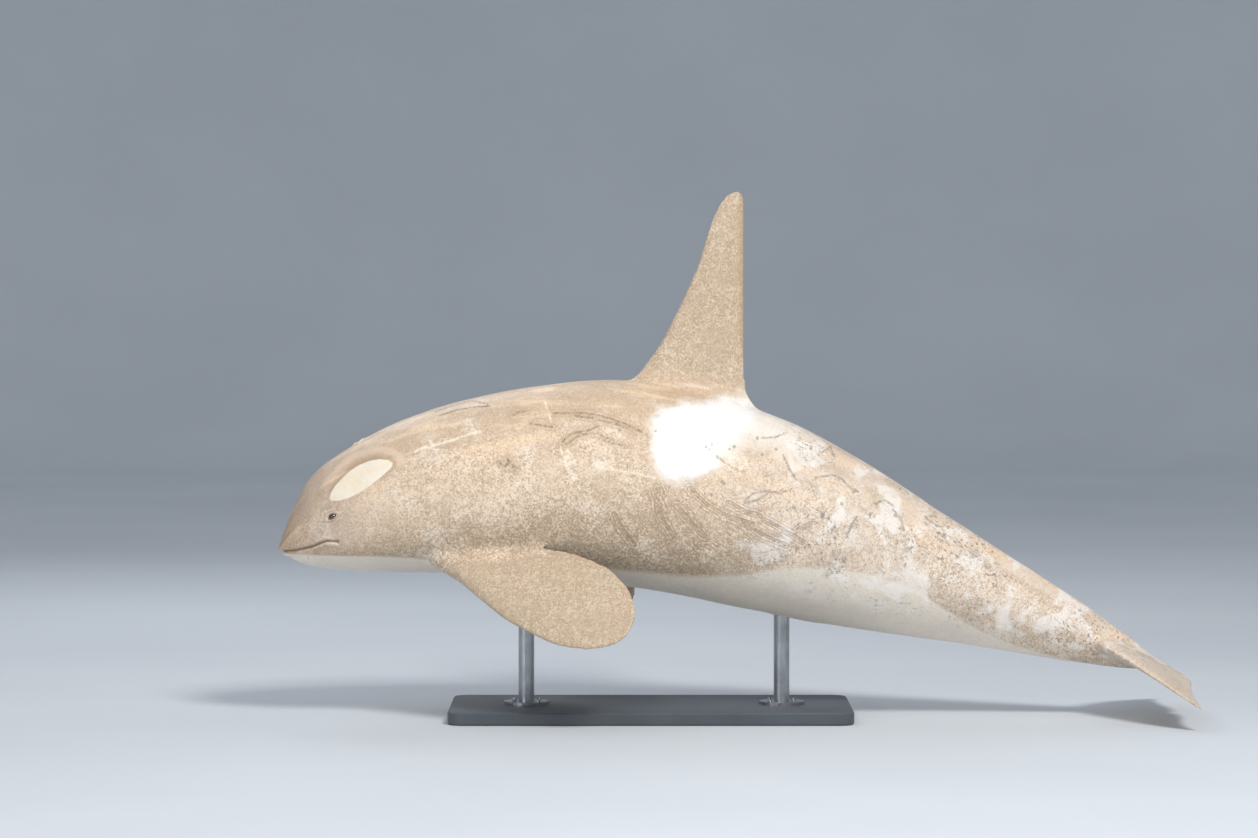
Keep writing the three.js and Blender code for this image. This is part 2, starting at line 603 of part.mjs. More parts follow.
// Head and lower jaw, parted along the mouth line and down behind the gape corner
const lips = [lip(LIP_OFF), lip(-LIP_OFF)];
const head = solid(bodyPiece(PIECES[0]));
const groove = mouthGroove();
const [lidUpper, lidLower] = lids();
const lidPair = lidUpper.add(lidLower);
const farLidPair = solid(mirrored(geometryOf(lidPair)));
const upperHead = head.subtract(prism(jawOutline(0), CLEAR_OF_HEAD))
  .add(lips[0].subtract(prism(jawOutline(0), CLEAR_OF_HEAD)))
  .subtract(groove)
  .add(lidPair).add(farLidPair)
  .subtract(solid(eyeBall(GAP))).subtract(solid(mirrored(eyeBall(GAP))))
  .subtract(blowholeSlot());
const lowerJaw = head.add(lips[1]).intersect(prism(jawOutline(GAP), CLEAR_OF_HEAD)).subtract(groove);
add('head', geometryOf(upperHead), skin);
add('lower_jaw', geometryOf(lowerJaw), paleSkin);
add('eye_left', eyeBall(0), darkEye);
add('eye_right', mirrored(eyeBall(0)), darkEye);

for (const piece of PIECES.slice(1)) add(piece.name, bodyPiece(piece), skin);

add('dorsal_fin', geometryOf(solid(dorsalFin()).subtract(clearOfBody)), skin);
const leftFlipper = geometryOf(solid(flipper()).subtract(clearOfBody));
add('flipper_left', leftFlipper, skin);
add('flipper_right', mirrored(leftFlipper), skin);

// Flukes, with the end of the tail stock in them, parted down the middle
const stockLimit = frameAt(TAIL_PIECE.from + GAP / 2 / BODY_LENGTH);
const flukes = solid(flukeWing()).add(solid(bodyPiece(TAIL_PIECE)))
  .trimByPlane(stockLimit.tail.toArray(), stockLimit.tail.dot(stockLimit.centre));
const leftFluke = geometryOf(flukes.trimByPlane([0, -1, 0], GAP / 2));
add('fluke_left', leftFluke, skin);
add('fluke_right', mirrored(leftFluke), skin);

// Stand: base, and two rods up to the belly, each with a flange at its foot
add('stand_base', standBase(), paintedBase);
['front', 'rear'].forEach((name, i) => {
  const rodHeight = SNOUT_Z - BASE_HEIGHT - GAP;
  const rod = solid(upright(ROD_RADIUS, rodHeight - ROD_INTO_BODY / 2, ROD_X[i], BASE_HEIGHT + GAP));
  add(`stand_rod_${name}`, geometryOf(rod.subtract(clearOfBody)), steel);
  const bore = solid(upright(ROD_RADIUS + GAP, 3 * FLANGE_HEIGHT, ROD_X[i], BASE_HEIGHT - FLANGE_HEIGHT));
  const plate = solid(upright(FLANGE_RADIUS, FLANGE_HEIGHT, ROD_X[i], BASE_HEIGHT + GAP));
  add(`stand_flange_${name}`, geometryOf(plate.subtract(bore)), steel);
});

export default orca;
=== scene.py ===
# A pale grown male orca, life-size, arched as it rolls at the surface, on a plain display stand.
# Metres, in the shared frame: +Z up, the snout along -X and the animal's left side towards -Y.
import math

import bmesh
import bpy
import numpy as np
from mathutils import Matrix, Vector


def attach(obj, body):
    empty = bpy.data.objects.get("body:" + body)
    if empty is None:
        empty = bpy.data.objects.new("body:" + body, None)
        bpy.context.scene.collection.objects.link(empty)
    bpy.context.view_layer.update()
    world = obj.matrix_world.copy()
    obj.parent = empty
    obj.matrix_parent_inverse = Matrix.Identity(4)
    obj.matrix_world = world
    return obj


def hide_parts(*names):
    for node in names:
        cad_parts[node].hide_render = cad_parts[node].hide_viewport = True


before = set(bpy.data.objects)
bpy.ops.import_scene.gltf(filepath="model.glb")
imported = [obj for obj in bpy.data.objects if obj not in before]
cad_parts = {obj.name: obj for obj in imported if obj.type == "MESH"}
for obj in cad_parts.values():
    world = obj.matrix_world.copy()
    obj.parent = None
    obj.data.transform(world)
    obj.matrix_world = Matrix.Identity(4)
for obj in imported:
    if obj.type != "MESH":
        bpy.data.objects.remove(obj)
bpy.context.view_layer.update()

# ---- Sizes shared with the solids ----
BODY_LENGTH = 6.8
SNOUT = (-2.69, 1.19)            # snout tip, x and z
FIN_HEIGHT = 1.407
FIN_LINE_X = 3.366
FIN_BASE_Z = 1.213
FLIPPER_LENGTH = 1.38
FLUKE_HALF_SPAN = 1.13
BASE_HEIGHT = 0.09
ROD_X = (-0.9, 0.95)
FLANGE_HEIGHT = 0.022

PITCH = [(0, -21), (0.1, -18), (0.2, -9.3), (0.32, 0.7), (0.44, 11.3), (0.58, 18.7), (0.75, 20), (1, 22)]
BACK = [(0, 0.0132), (0.03, 0.0378), (0.055, 0.0614), (0.08, 0.0732), (0.105, 0.0785), (0.14, 0.0888),
        (0.2, 0.0994), (0.28, 0.1097), (0.38, 0.12), (0.5, 0.113), (0.6, 0.097), (0.7, 0.073),
        (0.8, 0.05), (0.88, 0.0325), (0.94, 0.018), (0.96, 0.011), (0.975, 0.0062), (1, 0.002)]
BELLY = [(0, 0.012), (0.03, 0.0275), (0.055, 0.0392), (0.08, 0.05), (0.105, 0.0585), (0.14, 0.068),
         (0.2, 0.081), (0.28, 0.0925), (0.38, 0.0985), (0.5, 0.096), (0.6, 0.0855), (0.7, 0.068),
         (0.8, 0.0475), (0.88, 0.0315), (0.94, 0.0175), (0.96, 0.0108), (0.975, 0.006), (1, 0.002)]
HALF_WIDTH = [(0, 0.017), (0.03, 0.0385), (0.055, 0.054), (0.08, 0.0655), (0.105, 0.0735), (0.14, 0.0815),
              (0.2, 0.09), (0.28, 0.0965), (0.38, 0.0975), (0.5, 0.088), (0.6, 0.0725), (0.7, 0.0535),
              (0.8, 0.0345), (0.88, 0.0225), (0.94, 0.0155), (0.96, 0.0125), (0.975, 0.0085), (1, 0.002)]
WIDEST = [(0, 0), (0.08, -0.01), (0.16, -0.012), (0.3, -0.006), (0.5, 0), (1, 0)]
FULL_ABOVE = [(0, 2), (0.1, 2.1), (0.35, 2), (0.6, 1.9), (0.8, 1.62), (0.94, 1.6), (1, 2)]
FULL_BELOW = [(0, 2), (0.1, 2.25), (0.35, 2.15), (0.6, 2), (0.8, 1.66), (0.94, 1.6), (1, 2)]
NOSE_CAP = 0.03
CHIN_SETBACK = 0.004
THINNEST = 0.003
TAIL_END = 0.985

FIN_CHORD = [(-0.2, 0.98), (-0.12, 0.84), (-0.05, 0.73), (0, 0.64), (0.04, 0.578), (0.09, 0.525),
             (0.18, 0.452), (0.33, 0.37), (0.49, 0.293), (0.64, 0.231), (0.8, 0.1825), (0.9, 0.143),
             (0.95, 0.112), (0.985, 0.068), (1, 0.012)]
FIN_TRAIL = [(-0.2, 0.13), (-0.12, 0.075), (-0.08, 0.048), (-0.05, 0.03), (0, 0.012), (0.06, 0.006),
             (0.14, 0), (0.95, 0), (0.985, -0.01), (1, -0.03)]
FIN_THICK = [(-0.2, 0.5), (-0.12, 0.36), (-0.05, 0.235), (0, 0.15), (0.08, 0.098), (0.25, 0.07), (0.6, 0.046),
             (0.9, 0.027), (1, 0.009)]

FLIPPER_AT = 0.212
FLIPPER_LOW = -0.058
FLIPPER_BACK = 46
FLIPPER_DROOP = 40
FLIPPER_TWIST = 12
FLIPPER_FRONT = [(-0.2, 0.16), (0, 0.172), (0.2, 0.212), (0.45, 0.25), (0.65, 0.248), (0.82, 0.205),
                 (0.93, 0.135), (0.985, 0.065), (1, 0.012)]
FLIPPER_REAR = [(-0.2, 0.15), (0, 0.152), (0.2, 0.19), (0.45, 0.255), (0.65, 0.275), (0.82, 0.235),
                (0.93, 0.16), (0.985, 0.08), (1, 0.014)]
FLIPPER_THICK = [(-0.2, 0.15), (0, 0.115), (0.15, 0.088), (0.5, 0.064), (0.85, 0.036), (1, 0.01)]
FLIPPER_CURL = 0.055

FLUKE_FRONT = [(0, 0.64), (0.08, 0.612), (0.2, 0.557), (0.4, 0.452), (0.6, 0.325), (0.8, 0.168),
               (0.92, 0.046), (0.98, -0.035), (1, -0.078)]
FLUKE_REAR = [(0, 0.01), (0.025, -0.02), (0.07, -0.05), (0.18, -0.062), (0.4, -0.046), (0.6, -0.026),
              (0.8, -0.028), (0.92, -0.055), (0.98, -0.08), (1, -0.092)]
FLUKE_THICK = [(0, 0.155), (0.1, 0.125), (0.25, 0.088), (0.5, 0.056), (0.8, 0.028), (1, 0.009)]
FLUKE_DROOP = 0.11

MOUTH = [(-0.02, 0.002), (0, 0.0005), (0.02, -0.003), (0.04, -0.0048), (0.054, -0.004), (0.067, -0.0085)]
GAPE = 0.067
EYE_AT = 0.0705
EYE_UP = 0.018
EYE_RADIUS = 0.034
EYE_SUNK = 0.017
BLOWHOLE_AT = 0.117
BLOWHOLE_RADIUS = 0.074
GROOVE_DEPTH = 0.016             # the mouth's
LIP_HEIGHT = 0.007
LID_LENGTH = 0.036               # half the eye's opening
LID_UP, LID_DOWN = 0.017, 0.013
BROW_HEIGHT = 0.0045
CREASE_DEPTH = 0.006
FOLD_WIDTH = 1.9                 # in pixels of the photo
FOLD_DEPTH = 0.0042
RIPPLE_SPACING = 8.5             # in pixels of the photo
RIPPLE_DEPTH = 0.0021
BOLT_CIRCLE = 0.122

# ---- The photo's camera ----
SHOT_DISTANCE = 32.0
SHOT_WIDTH = 1258
SHOT_FOCAL = 4424.0              # in pixels
SHOT_CENTRE = (629.0, 419.0)
SHOT_HORIZON = 262.0
SNOUT_SEEN = (278.7, 552.7)      # the snout tip's pixel
METRES_PER_PIXEL = SHOT_DISTANCE / SHOT_FOCAL
CAMERA_X = SNOUT[0] + (SHOT_CENTRE[0] - SNOUT_SEEN[0]) * METRES_PER_PIXEL
CAMERA_Z = SNOUT[1] + (SNOUT_SEEN[1] - SHOT_HORIZON) * METRES_PER_PIXEL
CAMERA_DOWN = math.atan((SHOT_CENTRE[1] - SHOT_HORIZON) / SHOT_FOCAL)
SENSOR_WIDTH = 36.0
RIGHT_SHIFT = (23, 6)            # from the left side's marks to the right's, in pixels

VOXEL = 0.0125
FIN_EDGE = 0.019                 # fins are no thinner than this at the edge


def curve(knots):
    """A smooth curve through (place, value) knots that never overshoots them."""
    x, y = np.array(knots, float).T
    h = np.diff(x)
    d = np.diff(y) / h
    t = np.concatenate([d[:1], np.zeros(len(x) - 2), d[-1:]])
    for i in range(1, len(x) - 1):
        if d[i - 1] * d[i] > 0:
            a, b = 2 * h[i] + h[i - 1], h[i] + 2 * h[i - 1]
            t[i] = (a + b) / (a / d[i - 1] + b / d[i])

    def at(place):
        p = np.clip(place, x[0], x[-1])
        i = np.clip(np.searchsorted(x, p, "right") - 1, 0, len(h) - 1)
        u = (p - x[i]) / h[i]
        bend = u * (1 - u) * h[i] * ((1 - u) * t[i] - u * t[i + 1])
        return y[i] * (1 + 2 * u) * (1 - u) ** 2 + y[i + 1] * u * u * (3 - 2 * u) + bend

    return at


def smooth(value, low, high):
    """0 below low and 1 above high, with soft ends; low may be the larger."""
    t = np.clip((value - low) / (high - low), 0, 1)
    return t * t * (3 - 2 * t)


def bell(value, width):
    """1 at 0, and next to nothing beyond two widths."""
    return np.exp(-(value / width) ** 2)


pitch_at, back_at, belly_at, half_at = (curve(k) for k in (PITCH, BACK, BELLY, HALF_WIDTH))
widest_at, full_above, full_below, mouth_at = (curve(k) for k in (WIDEST, FULL_ABOVE, FULL_BELOW, MOUTH))

# ---- The bent axis ----
AXIS_STEP = 0.0025
axis_places = np.arange(0, 1 + 2 * AXIS_STEP, AXIS_STEP)
axis_down = np.radians(pitch_at(axis_places[:-1] + AXIS_STEP / 2))
axis_moves = np.stack([np.cos(axis_down), -np.sin(axis_down)], 1) * AXIS_STEP * BODY_LENGTH
axis_points = np.vstack([[SNOUT], SNOUT + np.cumsum(axis_moves, 0)])


def frame_at(at):
    """Axis point, tailward and upward unit vectors, each as x and z, for an array of places."""
    at = np.asarray(at, float)
    down = np.radians(pitch_at(at))
    tail = np.stack([np.cos(down), -np.sin(down)], -1)
    up = np.stack([np.sin(down), np.cos(down)], -1)
    inside = np.clip(at, 0, axis_places[-1])
    centre = np.stack([np.interp(inside, axis_places, axis_points[:, k]) for k in (0, 1)], -1)
    return centre + tail * ((at - inside) * BODY_LENGTH)[..., None], tail, up


def body_point(at, up, side):
    centre, _, lift = frame_at(at)
    flat = centre + lift * np.asarray(up, float)[..., None]
    return np.stack([flat[..., 0], np.broadcast_to(side, flat[..., 0].shape), flat[..., 1]], -1)


def nose(at):
    left = np.clip(1 - np.asarray(at, float) / NOSE_CAP, 0, 1)
    return np.sqrt(1 - left * left)


def section(at):
    """Widest line's height, back and belly heights from it, and half width, in metres."""
    widest = widest_at(at) * nose(at) * BODY_LENGTH
    above = back_at(at) * nose(at) * BODY_LENGTH - widest
    below = belly_at(at) * nose(at - CHIN_SETBACK) * BODY_LENGTH + widest
    half = half_at(at) * nose(at) * BODY_LENGTH
    return widest, np.maximum(above, THINNEST), np.maximum(below, THINNEST), np.maximum(half, THINNEST)


def reach_at(at, up):
    """Height from the widest line, how far the body reaches that way, and its half width."""
    widest, above, below, half = section(at)
    rise = up - widest
    return rise, np.where(rise >= 0, above, below), half


def fullness(at, rise):
    return np.where(rise >= 0, full_above(at), full_below(at))


def side_at(at, up):
    """The body's half width at a height off the axis."""
    rise, reach, half = reach_at(at, up)
    power = fullness(at, rise)
    share = np.minimum(np.abs(rise) / reach, 1)
    return half * (1 - share ** power) ** (1 / power)


def surface_at(at, up, side):
    """A point on the body's side, and unit vectors tailward, up and out there."""
    def place(s, u):
        return body_point(np.array(s), np.array(u), side * side_at(np.array(s), np.array(u)))
    along = place(at + 0.004, up) - place(at - 0.004, up)
    rise = place(at, up + 0.0136) - place(at, up - 0.0136)
    along, rise = along / np.linalg.norm(along), rise / np.linalg.norm(rise)
    out = side * np.cross(rise, along)
    return place(at, up), along, rise, out / np.linalg.norm(out)


def body_rings(places, sides):
    angle = np.arange(sides) * 2 * math.pi / sides
    over, aside = np.cos(angle), np.sin(angle)
    rings = []
    for at in places:
        widest, above, below, half = section(at)
        power = 2 / fullness(at, over)
        rise = np.sign(over) * np.abs(over) ** power * np.where(over >= 0, above, below)
        side = np.sign(aside) * np.abs(aside) ** power * half
        rings.append(body_point(np.full(sides, at), widest + rise, side))
    return rings


def foil_ring(lead, trail, out, thick, points=26):
    """A closed ring round a fin's section, with both edges rounded."""
    share = (1 - np.cos(np.pi * np.arange(points) / (points - 1))) / 2
    foil = 2.969 * np.sqrt(share) - 1.26 * share - 3.516 * share ** 2
    foil = foil + 2.843 * share ** 3 - 1.036 * share ** 4
    chord = np.linalg.norm(trail - lead)
    edge = np.minimum(FIN_EDGE / 2, chord * 0.2)
    from_ends = np.minimum(share, 1 - share) * chord
    rounded = edge * np.sqrt(1 - np.clip(1 - from_ends / edge, 0, 1) ** 2)
    half = np.maximum(np.maximum(foil, 0) * thick / 2, rounded)
    middle = lead + (trail - lead) * share[:, None]
    return np.vstack([middle + out * half[:, None], (middle - out * half[:, None])[-2:0:-1]])


def dorsal_fin():
    chord_at, trail_at, thick_at = curve(FIN_CHORD), curve(FIN_TRAIL), curve(FIN_THICK)
    rings = []
    for share in 1 - (1 - np.linspace(0, 1, 90)) ** 1.4 * 1.2:
        x = SNOUT[0] + FIN_LINE_X + trail_at(share) * FIN_HEIGHT
        trail = np.array([x, 0, SNOUT[1] + FIN_BASE_Z + share * FIN_HEIGHT])
        lead = trail - np.array([chord_at(share) * FIN_HEIGHT, 0, 0])
        rings.append(foil_ring(lead, trail, np.array([0, 1.0, 0]), thick_at(share) * FIN_HEIGHT))
    return rings


def flipper(side):
    front_at, rear_at, thick_at = curve(FLIPPER_FRONT), curve(FLIPPER_REAR), curve(FLIPPER_THICK)
    low = FLIPPER_LOW * BODY_LENGTH
    root = body_point(np.array(FLIPPER_AT), np.array(low), -side_at(FLIPPER_AT, low))
    _, tail, up = frame_at(FLIPPER_AT)
    tail, up = np.array([tail[0], 0, tail[1]]), np.array([up[0], 0, up[1]])
    back, droop = math.radians(FLIPPER_BACK), math.radians(FLIPPER_DROOP)
    span = np.array([0, -math.cos(back) * math.cos(droop), 0])
    span = span + tail * math.sin(back) - up * math.cos(back) * math.sin(droop)
    rearward = tail - span * (tail @ span)
    rearward = rearward / np.linalg.norm(rearward)
    turn = Matrix.Rotation(math.radians(FLIPPER_TWIST), 3, Vector(span))
    rearward = np.array(turn @ Vector(rearward))
    out = np.cross(span, rearward)
    out = out * np.sign(out[2]) / np.linalg.norm(out)
    rings = []
    for share in 1 - (1 - np.linspace(0, 1, 60)) ** 1.5 * 1.2:
        middle = root + span * share * FLIPPER_LENGTH
        middle = middle - out * FLIPPER_CURL * FLIPPER_LENGTH * max(share, 0) ** 2
        lead = middle - rearward * front_at(share) * FLIPPER_LENGTH
        trail = middle + rearward * rear_at(share) * FLIPPER_LENGTH
        ring = foil_ring(lead, trail, out, thick_at(share) * FLIPPER_LENGTH)
        rings.append(ring * np.array([1, -side, 1]))
    return rings


def flukes():
    front_at, rear_at, thick_at = curve(FLUKE_FRONT), curve(FLUKE_REAR), curve(FLUKE_THICK)
    centre, tail, up = (np.array([v[0], 0, v[1]]) for v in frame_at(1.0))
    reach = 1 - (1 - np.linspace(0, 1, 60)) ** 1.4
    rings = []
    for signed in np.concatenate([-reach[:0:-1], reach]):
        share = abs(signed)
        middle = centre - up * FLUKE_DROOP * FLUKE_HALF_SPAN * share ** 2.4
        middle = middle + np.array([0, signed * FLUKE_HALF_SPAN, 0])
        lead = middle - tail * front_at(share) * FLUKE_HALF_SPAN
        trail = middle - tail * rear_at(share) * FLUKE_HALF_SPAN
        rings.append(foil_ring(lead, trail, up, thick_at(share) * FLUKE_HALF_SPAN))
    return rings


def add_object(name, data):
    thing = bpy.data.objects.new(name, data)
    bpy.context.scene.collection.objects.link(thing)
    return thing


def smooth_faces(mesh):
    for polygon in mesh.polygons:
        polygon.use_smooth = True


def loft(name, rings):
    """A closed mesh object through rings, with flat ends."""
    count = len(rings[0])
    points = np.vstack(rings)
    faces = []
    for r in range(len(rings) - 1):
        for i in range(count):
            a, b = r * count + i, r * count + (i + 1) % count
            faces.append((a, b, b + count, a + count))
    faces.append(tuple(range(count))[::-1])
    faces.append(tuple(range((len(rings) - 1) * count, len(rings) * count)))
    mesh = bpy.data.meshes.new(name)
    mesh.from_pydata(points.tolist(), [], faces)
    bm = bmesh.new()
    bm.from_mesh(mesh)
    bmesh.ops.recalc_face_normals(bm, faces=bm.faces)
    bm.to_mesh(mesh)
    bm.free()
    return add_object(name, mesh)


def bake_modifiers(piece):
    """The piece's mesh becomes what its modifiers make of it."""
    graph = bpy.context.evaluated_depsgraph_get()
    mesh = bpy.data.meshes.new_from_object(piece.evaluated_get(graph))
    old = piece.data
    piece.modifiers.clear()
    piece.data = mesh
    bpy.data.meshes.remove(old)


def triples(data, what):
    flat = np.empty(len(data) * 3)
    data.foreach_get(what, flat)
    return flat.reshape(-1, 3)


def points_of(mesh):
    return triples(mesh.vertices, "co")


def set_points(mesh, points):
    mesh.vertices.foreach_set("co", points.reshape(-1))
    mesh.update()


def body_place(points):
    """Place along the body, height off the axis and side of each point."""
    flat = points[:, (0, 2)]
    at = np.empty(len(flat))
    middles = frame_at(axis_places)[0]
    for start in range(0, len(flat), 20000):
        part = flat[start:start + 20000]
        gaps = ((part[:, None, :] - middles[None]) ** 2).sum(-1)
        at[start:start + 20000] = axis_places[gaps.argmin(1)]
    for _ in range(3):
        centre, tail, _ = frame_at(at)
        at = at + ((flat - centre) * tail).sum(-1) / BODY_LENGTH
    centre, _, up = frame_at(at)
    return at, ((flat - centre) * up).sum(-1), points[:, 1]


def seen_at(points):
    """The pixel of the photo at which each point shows, as if it were on the animal's left side."""
    depth = SHOT_DISTANCE - np.abs(points[:, 1])
    across, rise = points[:, 0] - CAMERA_X, points[:, 2] - CAMERA_Z
    cos, sin = math.cos(CAMERA_DOWN), math.sin(CAMERA_DOWN)
    forward, lift = depth * cos - rise * sin, rise * cos + depth * sin
    return SHOT_CENTRE[0] + SHOT_FOCAL * across / forward, SHOT_CENTRE[1] - SHOT_FOCAL * lift / forward


def lattice_noise(points, size, seed):
    """Smooth noise from -1 to 1 with lumps of a size in metres."""
    rng = np.random.default_rng(seed)
    grid = rng.uniform(-1, 1, (32, 32, 32))
    cell = points / size + 100
    low = np.floor(cell).astype(int)
    t = cell - low
    t = t * t * (3 - 2 * t)
    total = np.zeros(len(points))
    for corner in range(8):
        step = np.array([corner & 1, corner >> 1 & 1, corner >> 2 & 1])
        weight = np.where(step, t, 1 - t).prod(1)
        i, j, k = ((low + step) % 32).T
        total += weight * grid[i, j, k]
    return total


def line_distance(u, v, path):
    """Distance in pixels from (u, v) to a path of pixels."""
    best = np.full(len(u), 1e9)
    for (ax, ay), (bx, by) in zip(path, path[1:]):
        dx, dy = bx - ax, by - ay
        t = np.clip(((u - ax) * dx + (v - ay) * dy) / (dx * dx + dy * dy), 0, 1)
        best = np.minimum(best, np.hypot(u - ax - t * dx, v - ay - t * dy))
    return best


# ---- Marks, in pixels of the photo ----
EYE_PATCH = [(329.5, 499), (330.5, 493), (335, 485.5), (342, 478), (350, 470.5), (359, 464.5), (370, 460.3),
             (380, 459), (389, 460), (393, 463), (392, 467), (386, 473), (379, 479), (370, 486),
             (360, 492.5), (349, 498), (339, 500.8), (332, 501)]
SADDLE = [(652, 421), (660, 411), (681, 405), (704, 401), (725, 399), (744, 402), (756, 412), (750, 425),
          (738, 434), (722, 446), (716, 460), (709, 473), (691, 479), (677, 480), (663, 477), (658, 460),
          (653, 441)]
SADDLE_VEIL = [(746, 396), (768, 406), (798, 428), (808, 444), (790, 450), (760, 442), (735, 450),
               (716, 466), (700, 440)]
FOLDS = [
    [(658, 490), (656, 499), (658, 511), (664, 524), (674, 540)],
    [(690, 489), (697, 497), (707, 506), (722, 515), (752, 524)],
    [(676, 506), (690, 522), (704, 536)],
    [(764, 520), (782, 530), (802, 542)],
    [(742, 524), (764, 537), (786, 546)],
    [(614, 514), (622, 530), (634, 545)],
    [(728, 503), (744, 512), (760, 516)],
]
CREASE = [(316, 495), (324, 480), (331, 468), (338, 457)]
RIPPLE_CENTRE = (790, 430)       # the flank's fine wrinkles run round this place
RAKES = [                        # marks of other orcas' teeth
    [(553, 413), (568, 413), (584, 413), (597, 415), (612, 419), (628, 425), (642, 432)],
    [(575, 416), (592, 418), (616, 424), (634, 431)],
    [(562, 442), (567, 437), (573, 433), (590, 430), (598, 426)],
    [(566, 444), (578, 436), (592, 433)],
    [(603, 440), (612, 443), (622, 445)],
    [(598, 433), (606, 438), (614, 440)],
    [(530, 423), (540, 425), (552, 427)],
    [(513, 415), (519, 412), (526, 411)],
    [(435, 412), (447, 408), (457, 405), (473, 401), (488, 404)],
    [(440, 416), (458, 410), (476, 407), (490, 406)],
    [(500, 463), (504, 467), (508, 463), (512, 466), (515, 471)],
    [(507, 459), (512, 464), (517, 468)],
]
CURLS = [                        # grey wisps behind the saddle
    [(744, 502), (752, 494), (765, 491), (780, 493), (792, 489)],
    [(744, 504), (757, 500), (768, 493)],
    [(820, 477), (832, 475), (842, 479), (850, 488), (858, 492)],
    [(783, 455), (789, 468), (796, 480)],
    [(762, 438), (774, 438), (786, 433)],
    [(893, 510), (901, 519), (904, 531)],
    [(846, 538), (851, 526), (857, 516)],
    [(822, 452), (830, 447), (834, 456)],
    [(716, 455), (722, 461), (735, 469), (744, 473)],
    [(874, 504), (884, 500), (892, 505)],
    [(925, 517), (934, 524), (942, 527)],
]
SPOTS = [(717, 457, 2.2), (709, 450, 1.3), (712, 445, 1.2), (706, 447, 1), (655, 431, 1.2), (620, 430, 1.2),
         (782, 491, 2.4), (794, 508, 2.4), (816, 478, 1.8), (854, 491, 2.8), (842, 504, 1.9), (823, 514, 2.3),
         (832, 530, 1.9), (852, 525, 2.4), (896, 515, 2.3), (901, 528, 2), (757, 438, 1.3), (762, 455, 1.4),
         (776, 449, 1.3), (724, 484, 1.3), (705, 494, 1.2), (811, 448, 1.2), (870, 515, 1.4), (766, 476, 1.2),
         (734, 447, 1.3), (729, 449, 1.1), (711, 495, 1.2), (735, 495, 1.1), (744, 471, 1.4), (722, 482, 1.2)]
PALE_LINES = [
    [(433, 446), (444, 443), (458, 438), (470, 434), (481, 431)],
    [(430, 440), (433, 446)],
    [(560, 448), (566, 462), (572, 476), (580, 488)],
    [(567, 449), (575, 462)],
    [(596, 466), (622, 471), (655, 478)],
    [(415, 452), (425, 447), (438, 450)],
    [(545, 402), (549, 414), (551, 422)],
]
PALE_PATCHES = [(529, 455, 8), (568, 460, 6), (573, 475, 7), (613, 438, 12), (600, 464, 9), (470, 424, 8)]
# Upper edge of the white underside: place along the body, and height as a share of the half body
WHITE_EDGE = [(0, -0.25), (0.04, -0.35), (0.09, -0.5), (0.14, -0.66), (0.22, -0.84), (0.32, -0.8),
              (0.44, -0.76), (0.51, -0.62), (0.56, -0.4), (0.61, -0.24), (0.66, -0.16), (0.7, -0.2),
              (0.74, -0.38), (0.78, -0.6), (0.83, -0.8), (0.9, -0.95), (1, -1)]


def cut_mouth(at, up):
    """Inward groove along the mouth line, with a lip rolled up on each side."""
    gap = up - mouth_at(at) * BODY_LENGTH
    fade = 1 - smooth(at, GAPE - 0.006, GAPE + 0.004)
    groove = -GROOVE_DEPTH * bell(gap, 0.0085)
    lips = LIP_HEIGHT * bell(np.abs(gap) - 0.022, 0.011)
    folds = -0.004 * bell(gap + 0.052, 0.010)
    corner = np.hypot((at - GAPE) * BODY_LENGTH, gap)
    return (groove + lips + folds) * fade - 0.010 * bell(corner, 0.022)


def cut_eye(points, side):
    """Socket, lids and the folds round one eye."""
    spot, along, rise, _ = surface_at(EYE_AT, EYE_UP * BODY_LENGTH, side)
    away = points - spot
    a, b = away @ along, away @ rise
    near = np.linalg.norm(away, axis=1) < 0.25
    slit = np.hypot(a / LID_LENGTH, b / np.where(b > 0, LID_UP, LID_DOWN))
    gap = (slit - 1) * 0.018
    move = -0.030 * (1 - smooth(gap, -0.009, 0.003))
    move = move + 0.010 * bell(gap - 0.0105, 0.0075)
    ring = np.hypot(a / 1.7, b)
    fold = np.where(b > 0, 1.0, 0.7) * smooth(np.abs(b), 0.004, 0.022)
    move = move - 0.0045 * fold * bell(ring - 0.040, 0.006)
    move = move - 0.003 * fold * bell(ring - 0.057, 0.007)
    move = move + 0.006 * bell(ring, 0.06)
    return np.where(near, move, 0)


def cut_blowhole(at, up, side):
    """A crescent slot with a raised rim on the crown, its ends pointing forward."""
    on_top = smooth(up, 0.3 * back_at(BLOWHOLE_AT) * BODY_LENGTH, 0.6 * back_at(BLOWHOLE_AT) * BODY_LENGTH)
    back = (at - BLOWHOLE_AT) * BODY_LENGTH + BLOWHOLE_RADIUS
    angle = np.degrees(np.abs(np.arctan2(side, back)))
    off = np.hypot(back, side) - BLOWHOLE_RADIUS
    fade = 1 - smooth(angle, 48, 64)
    slot = -0.026 * bell(off, 0.0085) + 0.008 * bell(np.abs(off) - 0.024, 0.013)
    mound = 0.010 * np.exp(-((back - 0.03) ** 2 + side ** 2) / 0.12 ** 2)
    return (slot * fade + mound) * on_top


def nearest(u, v, paths):
    return np.min([line_distance(u, v, path) for path in paths], 0)


def curls(u, v):
    spots = [np.hypot(u - x, v - y) - 0.5 * size for x, y, size in SPOTS]
    return np.minimum(nearest(u, v, CURLS), np.min(spots, 0))


def furrows(u, v, paths, width, depth):
    """Grooves along paths, each with a low ridge beside it."""
    move = np.zeros(len(u))
    for path in paths:
        gap = line_distance(u, v, path)
        move += -depth * bell(gap, width) + 0.45 * depth * bell(gap - 2 * width, width)
    return move


